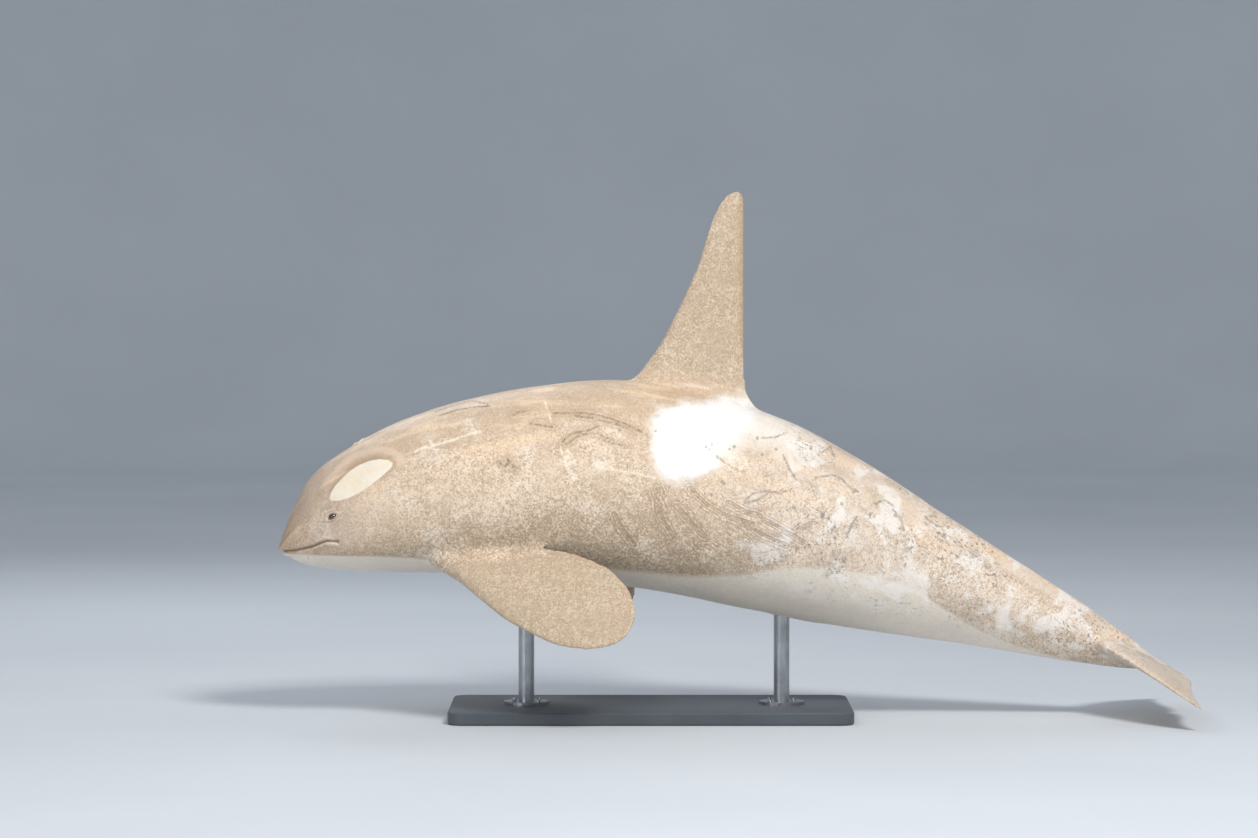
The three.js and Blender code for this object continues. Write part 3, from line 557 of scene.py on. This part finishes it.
def refine(piece, wanted):
    """Splits the faces whose middle is wanted into four."""
    bm = bmesh.new()
    bm.from_mesh(piece.data)
    middles = np.array([f.calc_center_median() for f in bm.faces])
    chosen = wanted(middles)
    edges = {e for f, keep in zip(bm.faces, chosen) if keep for e in f.edges}
    bmesh.ops.subdivide_edges(bm, edges=list(edges), cuts=1, use_grid_fill=True)
    bm.to_mesh(piece.data)
    bm.free()


def ease(piece, weights, factor, times):
    """Smooths the mesh where the weights say."""
    weigh(piece, "ease", weights)
    modifier = piece.modifiers.new("ease", "SMOOTH")
    modifier.vertex_group = "ease"
    modifier.factor, modifier.iterations = factor, times
    bake_modifiers(piece)
    piece.vertex_groups.clear()


def root_weights(points):
    """1 near the fins' and flippers' roots, falling to 0 away from them."""
    at, up, side = body_place(points)
    rise, reach, half = reach_at(at, up)
    power = fullness(at, rise)
    share = ((np.abs(rise) / reach) ** power + (np.abs(side) / half) ** power) ** (1 / power)
    off = np.abs(share - 1) * np.minimum(reach, half)
    fin = smooth(at, 0.33, 0.37) * (1 - smooth(at, 0.52, 0.56)) * (rise > 0) * smooth(np.abs(side), 0.45, 0.3)
    low = (rise < 0) * smooth(at, 0.14, 0.17) * (1 - smooth(at, 0.30, 0.34)) * smooth(np.abs(side), 0.2, 0.35)
    tail = smooth(at, 0.88, 0.91) * (1 - smooth(at, 0.975, 0.99)) * smooth(np.abs(side), 0.28, 0.2)
    return np.clip(smooth(off, 0.14, 0.03) * (fin + low) + tail * smooth(off, 0.1, 0.02), 0, 1)


def store(mesh, name, *values):
    """Keeps one number for each point, or three."""
    kind, what = ("FLOAT_VECTOR", "vector") if len(values) == 3 else ("FLOAT", "value")
    layer = mesh.attributes.new(name, kind, "POINT")
    layer.data.foreach_set(what, np.stack(values, 1).astype(np.float32).reshape(-1))


def weigh(piece, name, weights):
    """Stores weights in ten steps as a vertex group."""
    group = piece.vertex_groups.new(name=name)
    levels = np.round(np.clip(weights, 0, 1) * 10).astype(int)
    for level in range(1, 11):
        group.add(np.nonzero(levels == level)[0].tolist(), level / 10, "REPLACE")


def fit_to(piece, target, weights):
    """Draws the piece's surface back on to the target's."""
    weigh(piece, "fit", weights)
    modifier = piece.modifiers.new("fit", "SHRINKWRAP")
    modifier.target, modifier.vertex_group = target, "fit"
    bake_modifiers(piece)
    piece.vertex_groups.clear()


def in_head(middles):
    at, up, side = body_place(middles)
    crown = (at < 0.135) & (at > 0.09) & (up > 0.3) & (np.abs(side) < 0.2)
    return (at < 0.088) | crown


def in_fine_parts(middles):
    """The mouth, eyes and blowhole."""
    at, up, side = body_place(middles)
    chosen = (at < GAPE + 0.008) & (np.abs(up - mouth_at(at) * BODY_LENGTH) < 0.045)
    for which in (-1, 1):
        spot = surface_at(EYE_AT, EYE_UP * BODY_LENGTH, which)[0]
        chosen |= np.linalg.norm(middles - spot, axis=1) < 0.095
    slot = np.hypot((at - BLOWHOLE_AT) * BODY_LENGTH + 0.02, side) < 0.12
    return chosen | (slot & (up > 0.3))


def make_skin():
    """One smooth closed skin over the whole animal."""
    fineness = 2
    snout = 0.0006 + 0.12 * np.linspace(0, 1, 60 * fineness) ** 1.7
    places = np.concatenate([snout, np.linspace(0.125, TAIL_END, 140 * fineness)])
    pieces = [loft("body", body_rings(places, 112 * fineness)), loft("fin", dorsal_fin())]
    pieces += [loft("flukes", flukes())] + [loft("flipper", flipper(side)) for side in (-1, 1)]
    bpy.ops.object.select_all(action="DESELECT")
    for piece in pieces:
        piece.select_set(True)
    bpy.context.view_layer.objects.active = pieces[0]
    bpy.ops.object.join()
    skin = pieces[0]
    skin.name = "skin"
    cast = add_object("cast", skin.data.copy())
    remesh = skin.modifiers.new("voxels", "REMESH")
    remesh.mode, remesh.voxel_size = "VOXEL", VOXEL
    bake_modifiers(skin)
    ease(skin, np.ones(len(skin.data.vertices)), 0.5, 4)
    ease(skin, root_weights(points_of(skin.data)), 0.6, 40)
    fit_to(skin, cast, 1 - root_weights(points_of(skin.data)) * 2)
    bpy.data.objects.remove(cast)
    ease(skin, np.ones(len(skin.data.vertices)), 0.5, 2)
    ease(skin, limbs(*body_place(points_of(skin.data))), 0.5, 9)
    refine(skin, in_head)
    at = body_place(points_of(skin.data))[0]
    ease(skin, (at < 0.14).astype(float), 0.5, 4)
    refine(skin, in_fine_parts)
    ease(skin, in_fine_parts(points_of(skin.data)).astype(float), 0.5, 3)
    return skin


def slits(at, side, up):
    """The navel and the slit of the underside, on the midline."""
    low = smooth(up, -0.1, -0.3)
    slit = smooth(at, 0.565, 0.575) * smooth(at, 0.625, 0.61) * bell(side, 0.011)
    rims = smooth(at, 0.56, 0.57) * smooth(at, 0.63, 0.615) * bell(np.abs(side) - 0.03, 0.016)
    navel = bell(np.hypot((at - 0.455) * BODY_LENGTH / 1.6, side), 0.022)
    return low * (0.006 * rims - 0.016 * slit - 0.012 * navel)


def dress_skin(skin):
    """Moves the skin into its fine forms and stores what its material needs."""
    mesh = skin.data
    points, normals = points_of(mesh), triples(mesh.vertex_normals, "vector")
    at, up, side = body_place(points)
    u, v = seen_at(points)
    patch = outline_distance(u, v, EYE_PATCH)
    far = smooth(side, 0.0, 0.4)
    off_middle = smooth(np.abs(side), 0.06, 0.2)
    u, v = u + RIGHT_SHIFT[0] * far, v + RIGHT_SHIFT[1] * far
    limb = limbs(at, up, side)
    move = np.where(at < 0.09, cut_mouth(at, up), 0)
    for which in (-1, 1):
        move = move + cut_eye(points, which)
    move = move + np.where(np.abs(at - BLOWHOLE_AT) < 0.05, cut_blowhole(at, up, side), 0)
    move = move + slits(at, side, up)
    brow = -BROW_HEIGHT * bell(patch - 2, 2) + BROW_HEIGHT * bell(patch - 10, 7)
    above_patch = smooth(up / BODY_LENGTH, 0.036, 0.048) * smooth(at, 0.16, 0.125) * off_middle
    move = move + brow * above_patch * smooth(at, 0.06, 0.075)
    move = move - CREASE_DEPTH * bell(line_distance(u, v, CREASE), 5) * off_middle
    radius = np.hypot(u - RIPPLE_CENTRE[0], v - RIPPLE_CENTRE[1])
    flank = smooth(u, 636, 665) * smooth(u, 815, 770) * smooth(v, 474, 492) * smooth(v, 575, 545) * (1 - limb)
    flank = flank * smooth(radius, 85, 100) * smooth(radius, 185, 160)
    patchy = smooth(lattice_noise(points, 0.15, 7) + 0.6 * lattice_noise(points, 0.07, 8), -0.3, 0.5)
    sway = 2.2 * lattice_noise(points, 0.34, 6) + 0.5 * lattice_noise(points, 0.09, 9)
    move = move + RIPPLE_DEPTH * np.sin(2 * np.pi * (radius / RIPPLE_SPACING + sway)) * flank * patchy
    move = move + furrows(u, v, FOLDS, FOLD_WIDTH, FOLD_DEPTH) * (1 - limb)
    body = smooth(at, 0.03, 0.1) * (1 - smooth(at, 0.85, 0.95)) * (1 - limb)
    move = move + body * (0.0045 * lattice_noise(points, 0.55, 3) + 0.0016 * lattice_noise(points, 0.13, 4))
    move = move + (1 - limb) * 0.0007 * lattice_noise(points, 0.05, 5)
    set_points(mesh, points + normals * move[:, None])
    rise, reach, _ = reach_at(np.clip(at, 0, 0.97), up)
    tone = rise / reach
    limb = limb * np.where(at > 0.85, smooth(np.abs(side), 0.05, 0.7), 1)
    tone = tone * (1 - limb) + limb * np.where((at > 0.85) & (normals[:, 2] < 0), -0.3, 0.75)
    white = (tone - curve(WHITE_EDGE)(at)) * 80
    white = white + 120 * limb * ((at < 0.8) | (normals[:, 2] > 0))
    store(mesh, "place", at, up / BODY_LENGTH, tone)
    store(mesh, "marks", nearest(u, v, RAKES), curls(u, v), nearest(u, v, PALE_LINES))
    store(mesh, "zones", outline_distance(u, v, SADDLE), outline_distance(u, v, SADDLE_VEIL), white)
    store(mesh, "ripple", radius / 10, flank, limb)
    store(mesh, "patch", patch)
    store(mesh, "fold", nearest(u, v, FOLDS) + 40 * limb)
    blaze = sum(np.exp(-((u - x) ** 2 + (v - y) ** 2) / size ** 2) for x, y, size in PALE_PATCHES)
    store(mesh, "blaze", blaze * (1 - limb))
    fin_line = SNOUT[0] + FIN_LINE_X
    edge = smooth(points[:, 0], fin_line - 0.05, fin_line - 0.012) * smooth(points[:, 2], 2.45, 2.8)
    edge = edge + 0.6 * smooth(np.abs(side), 0.3, 1.15) * ((at > 0.85) + 0.6 * (at < 0.4))
    edge = edge + 0.25 * smooth(points[:, 2], 2.3, 3.1)
    store(mesh, "edge", edge * limb)
    store(mesh, "dent", move)
    smooth_faces(mesh)


def outline_distance(u, v, outline):
    """Distance in pixels outside a closed outline, negative inside it."""
    closed = outline + outline[:1]
    inside = np.zeros(len(u), bool)
    for (ax, ay), (bx, by) in zip(closed, closed[1:]):
        if ay != by:
            crosses = (ay > v) != (by > v)
            inside ^= crosses & (u < ax + (v - ay) * (bx - ax) / (by - ay))
    return line_distance(u, v, closed) * np.where(inside, -1, 1)


def limbs(at, up, side):
    """How much each point belongs to a fin, flipper or fluke rather than to the body."""
    rise, reach, half = reach_at(np.clip(at, 0, 1), up)
    share = np.hypot(rise / reach, side / half)
    return smooth((share - 1) * np.minimum(reach, half), 0.03, 0.14) * smooth(at, 0.1, 0.16)


def srgb(*shade):
    """A colour given in levels of 0 to 255, made linear."""
    return (*(c / 255 / 12.92 if c <= 10 else ((c / 255 + 0.055) / 1.055) ** 2.4 for c in shade), 1)


class Look:
    """A material, with short ways to add nodes."""

    def __init__(self, name):
        self.material = bpy.data.materials.new(name)
        self.material.use_nodes = True
        self.tree = self.material.node_tree
        self.tree.nodes.clear()
        out = self.node("ShaderNodeOutputMaterial")
        self.shader = self.node("ShaderNodeBsdfPrincipled")
        self.colour = None
        self.tree.links.new(self.shader.outputs[0], out.inputs[0])

    def node(self, kind, inputs=(), **props):
        made = self.tree.nodes.new(kind)
        for key, value in props.items():
            setattr(made, key, value)
        for key, value in dict(inputs).items():
            self.put(made.inputs[key], value)
        return made

    def put(self, socket, value):
        if isinstance(value, bpy.types.NodeSocket):
            self.tree.links.new(value, socket)
        else:
            socket.default_value = value

    def set(self, **values):
        for key, value in values.items():
            self.put(self.shader.inputs[key.replace("_", " ")], value)

    def feed(self, kind, *values, **props):
        """A node whose inputs are filled in their order."""
        made = self.node(kind, **props)
        for socket, value in zip(made.inputs, values):
            self.put(socket, value)
        return made.outputs[0]

    def math(self, operation, *values):
        return self.feed("ShaderNodeMath", *values, operation=operation)

    def mul(self, a, b):
        return self.math("MULTIPLY", a, b)

    def mul_add(self, a, b, more):
        return self.math("MULTIPLY_ADD", a, b, more)

    def vector(self, operation, *values):
        return self.feed("ShaderNodeVectorMath", *values, operation=operation)

    def fade(self, *step):
        """A soft step of value from low to high, and from 0 to 1 unless two ends follow."""
        return self.feed("ShaderNodeMapRange", *step, interpolation_type="SMOOTHSTEP")

    def paint(self, amount, shade, share=None):
        """Lays a shade over the colour so far."""
        amount = amount if share is None else self.mul(amount, share)
        self.colour = self.mix(amount, self.colour, srgb(*shade))

    def mix(self, amount, a, b):
        made = self.node("ShaderNodeMix", data_type="RGBA")
        for key, value in ((0, amount), (6, a), (7, b)):
            self.put(made.inputs[key], value)
        return made.outputs[2]

    def noise(self, scale, where=None, detail=3.0, rough=0.5, warp=0.0):
        inputs = {"Scale": scale, "Detail": detail, "Roughness": rough, "Distortion": warp}
        inputs["Vector"] = where or self.here
        return self.node("ShaderNodeTexNoise", inputs).outputs[0]

    def stored(self, name, what="Fac"):
        return self.node("ShaderNodeAttribute", attribute_name=name).outputs[what]

    def parts(self, name):
        return self.node("ShaderNodeSeparateXYZ", {0: self.stored(name, "Vector")}).outputs

    @property
    def here(self):
        if not hasattr(self, "_here"):
            self._here = self.node("ShaderNodeTexCoord").outputs["Object"]
        return self._here

    def bump(self, height, strength, distance):
        made = self.node("ShaderNodeBump", {"Strength": strength, "Distance": distance, "Height": height})
        self.put(self.shader.inputs["Normal"], made.outputs[0])


def skin_look():
    look = Look("orca_skin")
    fade, mul, mul_add, noise, paint = look.fade, look.mul, look.mul_add, look.noise, look.paint
    at, up, tone = look.parts("place")
    saddle, veil, white = look.parts("zones")
    ring, ripple, limb = look.parts("ripple")
    rake, curl, scratch = look.parts("marks")
    broad = noise(1.6, detail=4, rough=0.55)
    lumps = noise(6.5, detail=5, rough=0.6, warp=0.4)
    grain = noise(78, detail=3, rough=0.65)
    fine = noise(24, detail=6, rough=0.72, warp=1)

    # From the lower flank up to the back; the darker lower flank and back are partly the skin's own tan and
    # partly painted shade
    ramp = look.node("ShaderNodeValToRGB")
    look.put(ramp.inputs[0], mul_add(broad, 0.5, mul_add(tone, 0.5, 0.25)))
    stops = [(0, (178, 157, 131)), (0.2, (179, 158, 131)), (0.4, (195, 171, 144)), (0.6, (228, 204, 178)),
             (0.78, (220, 193, 164)), (1, (206, 179, 150))]
    while len(ramp.color_ramp.elements) < len(stops):
        ramp.color_ramp.elements.new(0.5)
    for element, (place, shade) in zip(ramp.color_ramp.elements, stops):
        element.position, element.color = place, srgb(*shade)
    look.colour = ramp.outputs[0]

    # Greyer forehead, stained snout, paler behind the saddle, and plainer fin and flippers
    forehead = mul(fade(at, 0.125, 0.075), fade(tone, -0.5, 0.2))
    paint(forehead, (196, 173, 154), 0.7)
    stain = mul(fade(at, 0.055, 0.01), fade(lumps, 0.3, 0.6, 0.5, 1))
    paint(stain, (183, 144, 104), 0.85)
    hind = mul(fade(at, 0.47, 0.57), fade(lumps, 0.3, 0.62, 0.55, 1))
    paint(mul(hind, fade(tone, -0.4, 0.1, 0.55, 1)), (236, 220, 205))
    front_limb = mul(limb, fade(at, 0.8, 0.7))
    paint(front_limb, (193, 172, 146), 0.85)

    # Mottling, streaks along the back, and a fine grain of light and dark
    paint(fade(lumps, 0.42, 0.68, 0, 0.42), (205, 180, 150))
    cloud = noise(3.4, detail=5, rough=0.65)
    pale = mul(fade(cloud, 0.52, 0.64, 0, 0.45), fade(limb, 0.2, 0.9, 1, 0.3))
    pale = mul(pale, fade(tone, 0.9, 0.6, 0.35, 1))
    paint(pale, (247, 234, 216))
    paint(mul(look.stored("blaze"), fade(fine, 0.42, 0.56, 0.2, 0.85)), (252, 240, 222))
    along = look.stored("place", "Vector")
    along = look.vector("MULTIPLY_ADD", along, (2.2, 6.8, 0), look.vector("MULTIPLY", look.here, (0, 0.8, 0)))
    streaks = noise(5.5, where=along, detail=4, rough=0.6, warp=0.3)
    back = mul(fade(tone, 0.1, 0.6), fade(limb, 0.6, 0.1))
    paint(mul(fade(streaks, 0.5, 0.62, 0, 0.65), back), (246, 216, 181))
    paint(mul(fade(streaks, 0.48, 0.38, 0, 0.6), back), (205, 177, 148))
    grainy = mul(fade(cloud, 0.3, 0.6, 0.45, 1), fade(tone, 0.8, 0.45, 0.42, 1))
    grainy = mul(grainy, fade(limb, 0.3, 0.9, 1, 1.5))
    grainy = mul(grainy, fade(at, 0.1, 0.2, 0.6, 1))
    light = mul(fade(grain, 0.51, 0.62), grainy)
    paint(light, (252, 233, 210), 0.72)
    dark = mul(fade(grain, 0.49, 0.37), grainy)
    paint(dark, (164, 136, 108), 0.66)
    light = mul(fade(fine, 0.51, 0.57, 0, 0.5), grainy)
    paint(light, (252, 232, 208))
    dark = mul(fade(fine, 0.47, 0.4, 0, 0.45), grainy)
    paint(dark, (176, 148, 120))

    # White underside, saddle (its full white partly a painted highlight) and eye patch, with a painted shadow
    # line and a painted highlight band on the brow above the patch
    ragged = mul_add(grain, 12, mul_add(lumps, 16, -14))
    paint(fade(mul_add(fine, 6, white), 6, 0, 0, 0.78), (246, 236, 221))
    veil_edge = mul_add(ragged, 1.6, veil)
    veiled = mul(fade(veil_edge, 16, -14, 0, 0.8), fade(grain, 0.3, 0.5, 0.55, 1))
    paint(veiled, (254, 248, 238))
    # the saddle patch is partly the skin's own white and partly a painted highlight of sunlight on the wet
    # skin there
    saddle_edge = mul_add(ragged, 1.4, saddle)
    paint(fade(saddle_edge, 8, -6, 0, 0.97), (255, 254, 251))
    patch = look.stored("patch")
    # painted shadow: a thin brown line in the groove along the eye patch's upper edge
    rim = mul(fade(patch, 5.5, 1.2), fade(up, 0.036, 0.046))
    paint(rim, (178, 146, 112), 0.5)
    # painted highlight: a lighter band on the raised brow above the eye patch
    band = mul(fade(look.math("ABSOLUTE", look.math("SUBTRACT", patch, 9)), 5, 1), fade(up, 0.045, 0.054))
    paint(band, (240, 214, 188), 0.55)
    inside = fade(mul_add(fine, 1.2, patch), 1, -0.1)
    cream = look.mix(fade(lumps, 0.35, 0.65), srgb(250, 233, 206), srgb(252, 241, 222))
    look.colour = look.mix(inside, look.colour, cream)

    # Grey flecks and wisps behind the saddle
    sparse = noise(2.7, detail=3, rough=0.6)
    behind = mul(fade(at, 0.46, 0.56), fade(tone, -0.8, -0.35))
    behind = mul(behind, fade(limb, 0.9, 0.1, 0.35, 1))
    blotch = mul(fade(noise(4.6, detail=4, rough=0.6, warp=0.6), 0.5, 0.62), behind)
    paint(blotch, (253, 247, 240), 0.65)
    clusters = mul(behind, fade(sparse, 0.45, 0.6, 0.06, 1))
    smudge = mul(fade(noise(12, detail=4, rough=0.6), 0.54, 0.66), clusters)
    paint(smudge, (168, 154, 138), 0.5)
    fleck = mul(fade(noise(38, detail=4, rough=0.7), 0.55, 0.62), clusters)
    paint(fleck, (116, 106, 96), 0.75)
    wisps = noise(7, detail=3, rough=0.6, warp=1.4)
    wisp = fade(look.math("ABSOLUTE", look.math("SUBTRACT", wisps, 0.5)), 0.016, 0.004)
    wisp = mul(mul(wisp, behind), fade(fine, 0.46, 0.56))
    wisp = mul(wisp, fade(sparse, 0.4, 0.55, 0.3, 1))
    paint(wisp, (140, 124, 104), 0.6)
    wander = mul_add(noise(40, detail=3), 3, -1.5)
    curl = fade(look.math("ADD", curl, wander), 1.7, 0.4)
    curl = mul(curl, fade(fine, 0.4, 0.54, 0.3, 1))
    paint(curl, (118, 108, 98), 0.62)

    # Tooth rakes, healed scratches and freckles on the snout
    shadow = mul(fade(rake, 8, 1), fade(tone, 0.9, 0.6, 0.3, 1))
    paint(shadow, (190, 162, 130), 0.28)
    beside = look.math("SINE", mul_add(rake, 2.6, mul(lumps, 9)))
    beside = mul(fade(beside, 0.5, 1), fade(rake, 8, 2))
    beside = mul(beside, fade(tone, 0.95, 0.7, 0.1, 1))
    rake = look.math("MAXIMUM", fade(look.math("ADD", rake, wander), 1.3, 0.1), mul(beside, 0.5))
    rake = mul(rake, fade(fine, 0.4, 0.52, 0.25, 1))
    paint(rake, (124, 102, 74), 0.8)
    scratch = fade(look.math("ADD", scratch, wander), 2, 0.1)
    scratch = mul(scratch, fade(fine, 0.36, 0.5, 0.25, 1))
    paint(scratch, (255, 242, 220), 0.8)
    speck = mul(fade(fine, 0.57, 0.64), fade(at, 0.09, 0.02))
    paint(speck, (118, 98, 72), 0.5)

    # Painted shade in the fine wrinkles' creases and painted highlight on their ridges, browner edges of the
    # fins, and painted shade in the folds and hollows
    sway = mul_add(cloud, 46, mul(ring, 15))
    sway = mul_add(lumps, 26, sway)
    lines = mul_add(look.math("SINE", sway), 0.5, 0.5)
    bundle = mul(fade(noise(5.2, detail=2), 0.47, 0.58), ripple)
    bundle = mul(bundle, fade(fine, 0.42, 0.54, 0.1, 1))
    crease = mul(fade(lines, 0.72, 0.97), bundle)
    fold = look.stored("fold")
    folds = look.math("SINE", mul_add(fold, 1.9, mul(lumps, 7)))
    folds = mul(fade(folds, 0.35, 0.95), fade(fold, 9, 3))
    folds = look.math("MAXIMUM", folds, fade(look.math("ADD", fold, wander), 1.6, 0.2))
    crease = look.math("MAXIMUM", crease, mul(folds, fade(fine, 0.38, 0.52, 0.25, 1)))
    # painted shade: darker lines in the creases of the fine wrinkles and along the folds
    paint(crease, (152, 120, 92), 0.62)
    # painted highlight: lighter lines on the ridges of the fine wrinkles
    ridge = mul(fade(lines, 0.25, 0.03), bundle)
    paint(ridge, (250, 232, 212), 0.45)
    paint(look.stored("edge"), (176, 150, 112), 0.55)
    # painted shade: darker, then near black, where the skin is sunk in, as in the mouth groove, eye sockets,
    # blowhole, folds and slits
    dent = look.stored("dent")
    paint(fade(dent, -0.0035, -0.011, 0, 0.45), (150, 122, 94))
    paint(fade(dent, -0.011, -0.02, 0, 0.85), (62, 46, 38))

    look.set(Base_Color=look.colour, Specular_IOR_Level=0.42, Coat_Weight=0.16, Coat_Roughness=0.2)
    look.set(Roughness=fade(lumps, 0.3, 0.7, 0.36, 0.52))
    relief = mul_add(grain, 0.55, mul(fine, 0.5))
    relief = mul_add(crease, -0.35, relief)
    look.bump(relief, 0.6, 0.016)
    return look.material


def eye_look():
    look = Look("orca_eye")
    found = look.stored("gaze")
    streak = look.noise(160, detail=3)
    iris = look.mix(look.fade(streak, 0.35, 0.7), srgb(62, 46, 36), srgb(92, 72, 56))
    look.colour = look.mix(look.fade(found, 0.44, 0.54), iris, srgb(84, 68, 60))
    look.colour = look.mix(look.fade(found, 0.25, 0.29), srgb(10, 10, 13), look.colour)
    look.set(Base_Color=look.colour, Coat_Weight=1, Coat_Roughness=0.03)
    look.set(Roughness=look.fade(streak, 0.2, 0.8, 0.1, 0.22))
    return look.material


def paint_look():
    look = Look("stand_paint")
    cloud = look.noise(1.4, detail=4)
    grain = look.noise(220, detail=2)
    wear = look.mul(look.fade(look.noise(9, detail=6, rough=0.7), 0.62, 0.75), 0.35)
    look.colour = look.mix(look.fade(cloud, 0.3, 0.7), srgb(74, 80, 86), srgb(84, 90, 96))
    look.paint(wear, (104, 110, 116))
    look.set(Base_Color=look.colour, Roughness=look.fade(grain, 0.3, 0.7, 0.42, 0.58))
    look.bump(grain, 0.25, 0.0006)
    return look.material


def steel_look():
    look = Look("stand_steel")
    stretch = look.vector("MULTIPLY", look.here, (1, 1, 0.03))
    brushed = look.noise(420, where=stretch, detail=3)
    cloud = look.noise(7)
    look.colour = look.mix(look.fade(cloud, 0.3, 0.7), srgb(168, 170, 174), srgb(188, 190, 193))
    look.paint(look.fade(brushed, 0.4, 0.7, 0, 0.3), (140, 142, 146))
    look.set(Base_Color=look.colour, Metallic=1, Roughness=look.fade(brushed, 0.3, 0.7, 0.26, 0.42))
    look.bump(brushed, 0.15, 0.0004)
    return look.material


def floor_look():
    look = Look("studio_floor")
    cloud = look.noise(0.25, detail=4)
    grain = look.noise(60, detail=2)
    look.colour = look.mix(look.fade(cloud, 0.25, 0.75), srgb(208, 213, 219), srgb(214, 219, 224))
    look.set(Base_Color=look.colour, Roughness=look.fade(grain, 0.3, 0.7, 0.7, 0.85), Specular_IOR_Level=0.25)
    return look.material


def wear_look(piece, material):
    piece.data.materials.clear()
    piece.data.materials.append(material)


def make_eye(side, name, material):
    """An eyeball with a dark pupil that faces out of its socket."""
    spot, along, _, out = surface_at(EYE_AT, EYE_UP * BODY_LENGTH, side)
    bm = bmesh.new()
    bmesh.ops.create_uvsphere(bm, u_segments=48, v_segments=32, radius=EYE_RADIUS)
    mesh = bpy.data.meshes.new(name)
    bm.to_mesh(mesh)
    bm.free()
    points = points_of(mesh)
    bulge = smooth(points @ np.array([0, 0, 1.0]) / EYE_RADIUS, 0.84, 1.0)
    gaze = np.arccos(np.clip(points[:, 2] / EYE_RADIUS, -1, 1))
    turned = np.stack([along, np.cross(out, along), out], 1)
    set_points(mesh, (points * (1 + 0.02 * bulge[:, None])) @ turned.T + spot - out * EYE_SUNK)
    store(mesh, "gaze", gaze)
    smooth_faces(mesh)
    ball = add_object(name, mesh)
    wear_look(ball, material)
    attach(ball, "root")
    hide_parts(name)


def make_bolts(material):
    """Four hexagon bolt heads with washers on each flange."""
    for end, x in zip(("front", "rear"), ROD_X):
        bm = bmesh.new()
        for turn in range(4):
            angle = math.radians(45 + 90 * turn)
            spot = Vector((x + BOLT_CIRCLE * math.cos(angle), BOLT_CIRCLE * math.sin(angle),
                           BASE_HEIGHT + FLANGE_HEIGHT))
            for sides, radius, tall, low in ((24, 0.019, 0.003, 0.0), (6, 0.0145, 0.010, 0.003)):
                place = Matrix.Translation(spot + Vector((0, 0, low + tall / 2 + 0.0004)))
                bmesh.ops.create_cone(bm, cap_ends=True, segments=sides, radius1=radius, radius2=radius,
                                      depth=tall, matrix=place @ Matrix.Rotation(angle, 4, "Z"))
        mesh = bpy.data.meshes.new("bolts_" + end)
        bm.to_mesh(mesh)
        bm.free()
        bolts = add_object("bolts_" + end, mesh)
        round_off = bolts.modifiers.new("edges", "BEVEL")
        round_off.width, round_off.segments = 0.0012, 2
        wear_look(bolts, material)
        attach(bolts, "root")


def dress_stand(paint, steel):
    for name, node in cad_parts.items():
        if name.startswith("stand_"):
            node.material_slots[0].material = paint if name == "stand_base" else steel


def make_floor():
    """A round floor that curves up into a backdrop all round."""
    flat, bend, top, below = 38.0, 12.0, 50.0, 0.001
    profile = [(r, 0.0) for r in (6.0, 14.0, 24.0, flat)]
    turns = np.linspace(0.08, math.pi / 2, 20)
    profile += [(flat + bend * math.sin(turn), bend - bend * math.cos(turn)) for turn in turns]
    profile.append((flat + bend, top))
    sides = 128
    points = [(0.0, 0.0, -below)]
    for radius, z in profile:
        for i in range(sides):
            angle = 2 * math.pi * i / sides
            points.append((radius * math.cos(angle), radius * math.sin(angle), z - below))
    faces = [(0, 1 + i, 1 + (i + 1) % sides) for i in range(sides)]
    for r in range(len(profile) - 1):
        for i in range(sides):
            a, b = 1 + r * sides + i, 1 + r * sides + (i + 1) % sides
            faces.append((a, a + sides, b + sides, b))
    mesh = bpy.data.meshes.new("floor")
    mesh.from_pydata(points, [], faces)
    smooth_faces(mesh)
    floor = add_object("floor", mesh)
    wear_look(floor, floor_look())


# Name, place, aim, watts, size and colour
LIGHTS = [("key", (6, -14, 16), (0.3, 0, 1.6), 3100, 5, (1.0, 0.98, 0.95)),
          ("fill", (-13, -14, 5), (-0.3, 0, 1.4), 650, 8, (0.95, 0.97, 1.0)),
          ("back", (-5, 11, 11), (0, 0, 1.8), 420, 6, (0.96, 0.98, 1.0))]
STUDIO_COLOUR = (0.68, 0.71, 0.76, 1)
STUDIO_STRENGTH = 0.72


def make_light(name, place, aim, power, size, tone):
    data = bpy.data.lights.new(name, "AREA")
    data.energy, data.size, data.color = power, size, tone
    lamp = add_object(name, data)
    lamp.location = place
    lamp.rotation_euler = (Vector(aim) - Vector(place)).to_track_quat("-Z", "Y").to_euler()


def make_camera():
    data = bpy.data.cameras.new("camera")
    data.sensor_width = SENSOR_WIDTH
    data.lens = SHOT_FOCAL * SENSOR_WIDTH / SHOT_WIDTH
    data.clip_end = 400
    camera = add_object("camera", data)
    camera.location = (CAMERA_X, -SHOT_DISTANCE, CAMERA_Z)
    camera.rotation_euler = (math.pi / 2 - CAMERA_DOWN, 0, 0)
    bpy.context.scene.camera = camera


make_camera()
make_floor()
for lamp in LIGHTS:
    make_light(*lamp)
world = bpy.data.worlds.new("studio")
bpy.context.scene.world = world
world.use_nodes = True
glow = world.node_tree.nodes["Background"].inputs
glow[0].default_value, glow[1].default_value = STUDIO_COLOUR, STUDIO_STRENGTH
bpy.context.scene.view_settings.view_transform = "Standard"

skin = make_skin()
dress_skin(skin)
wear_look(skin, skin_look())
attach(skin, "root")
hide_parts(*[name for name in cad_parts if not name.startswith(("stand_", "eye_"))])
eye_material = eye_look()
make_eye(-1, "eye_left", eye_material)
make_eye(1, "eye_right", eye_material)
steel_material = steel_look()
dress_stand(paint_look(), steel_material)
make_bolts(steel_material)
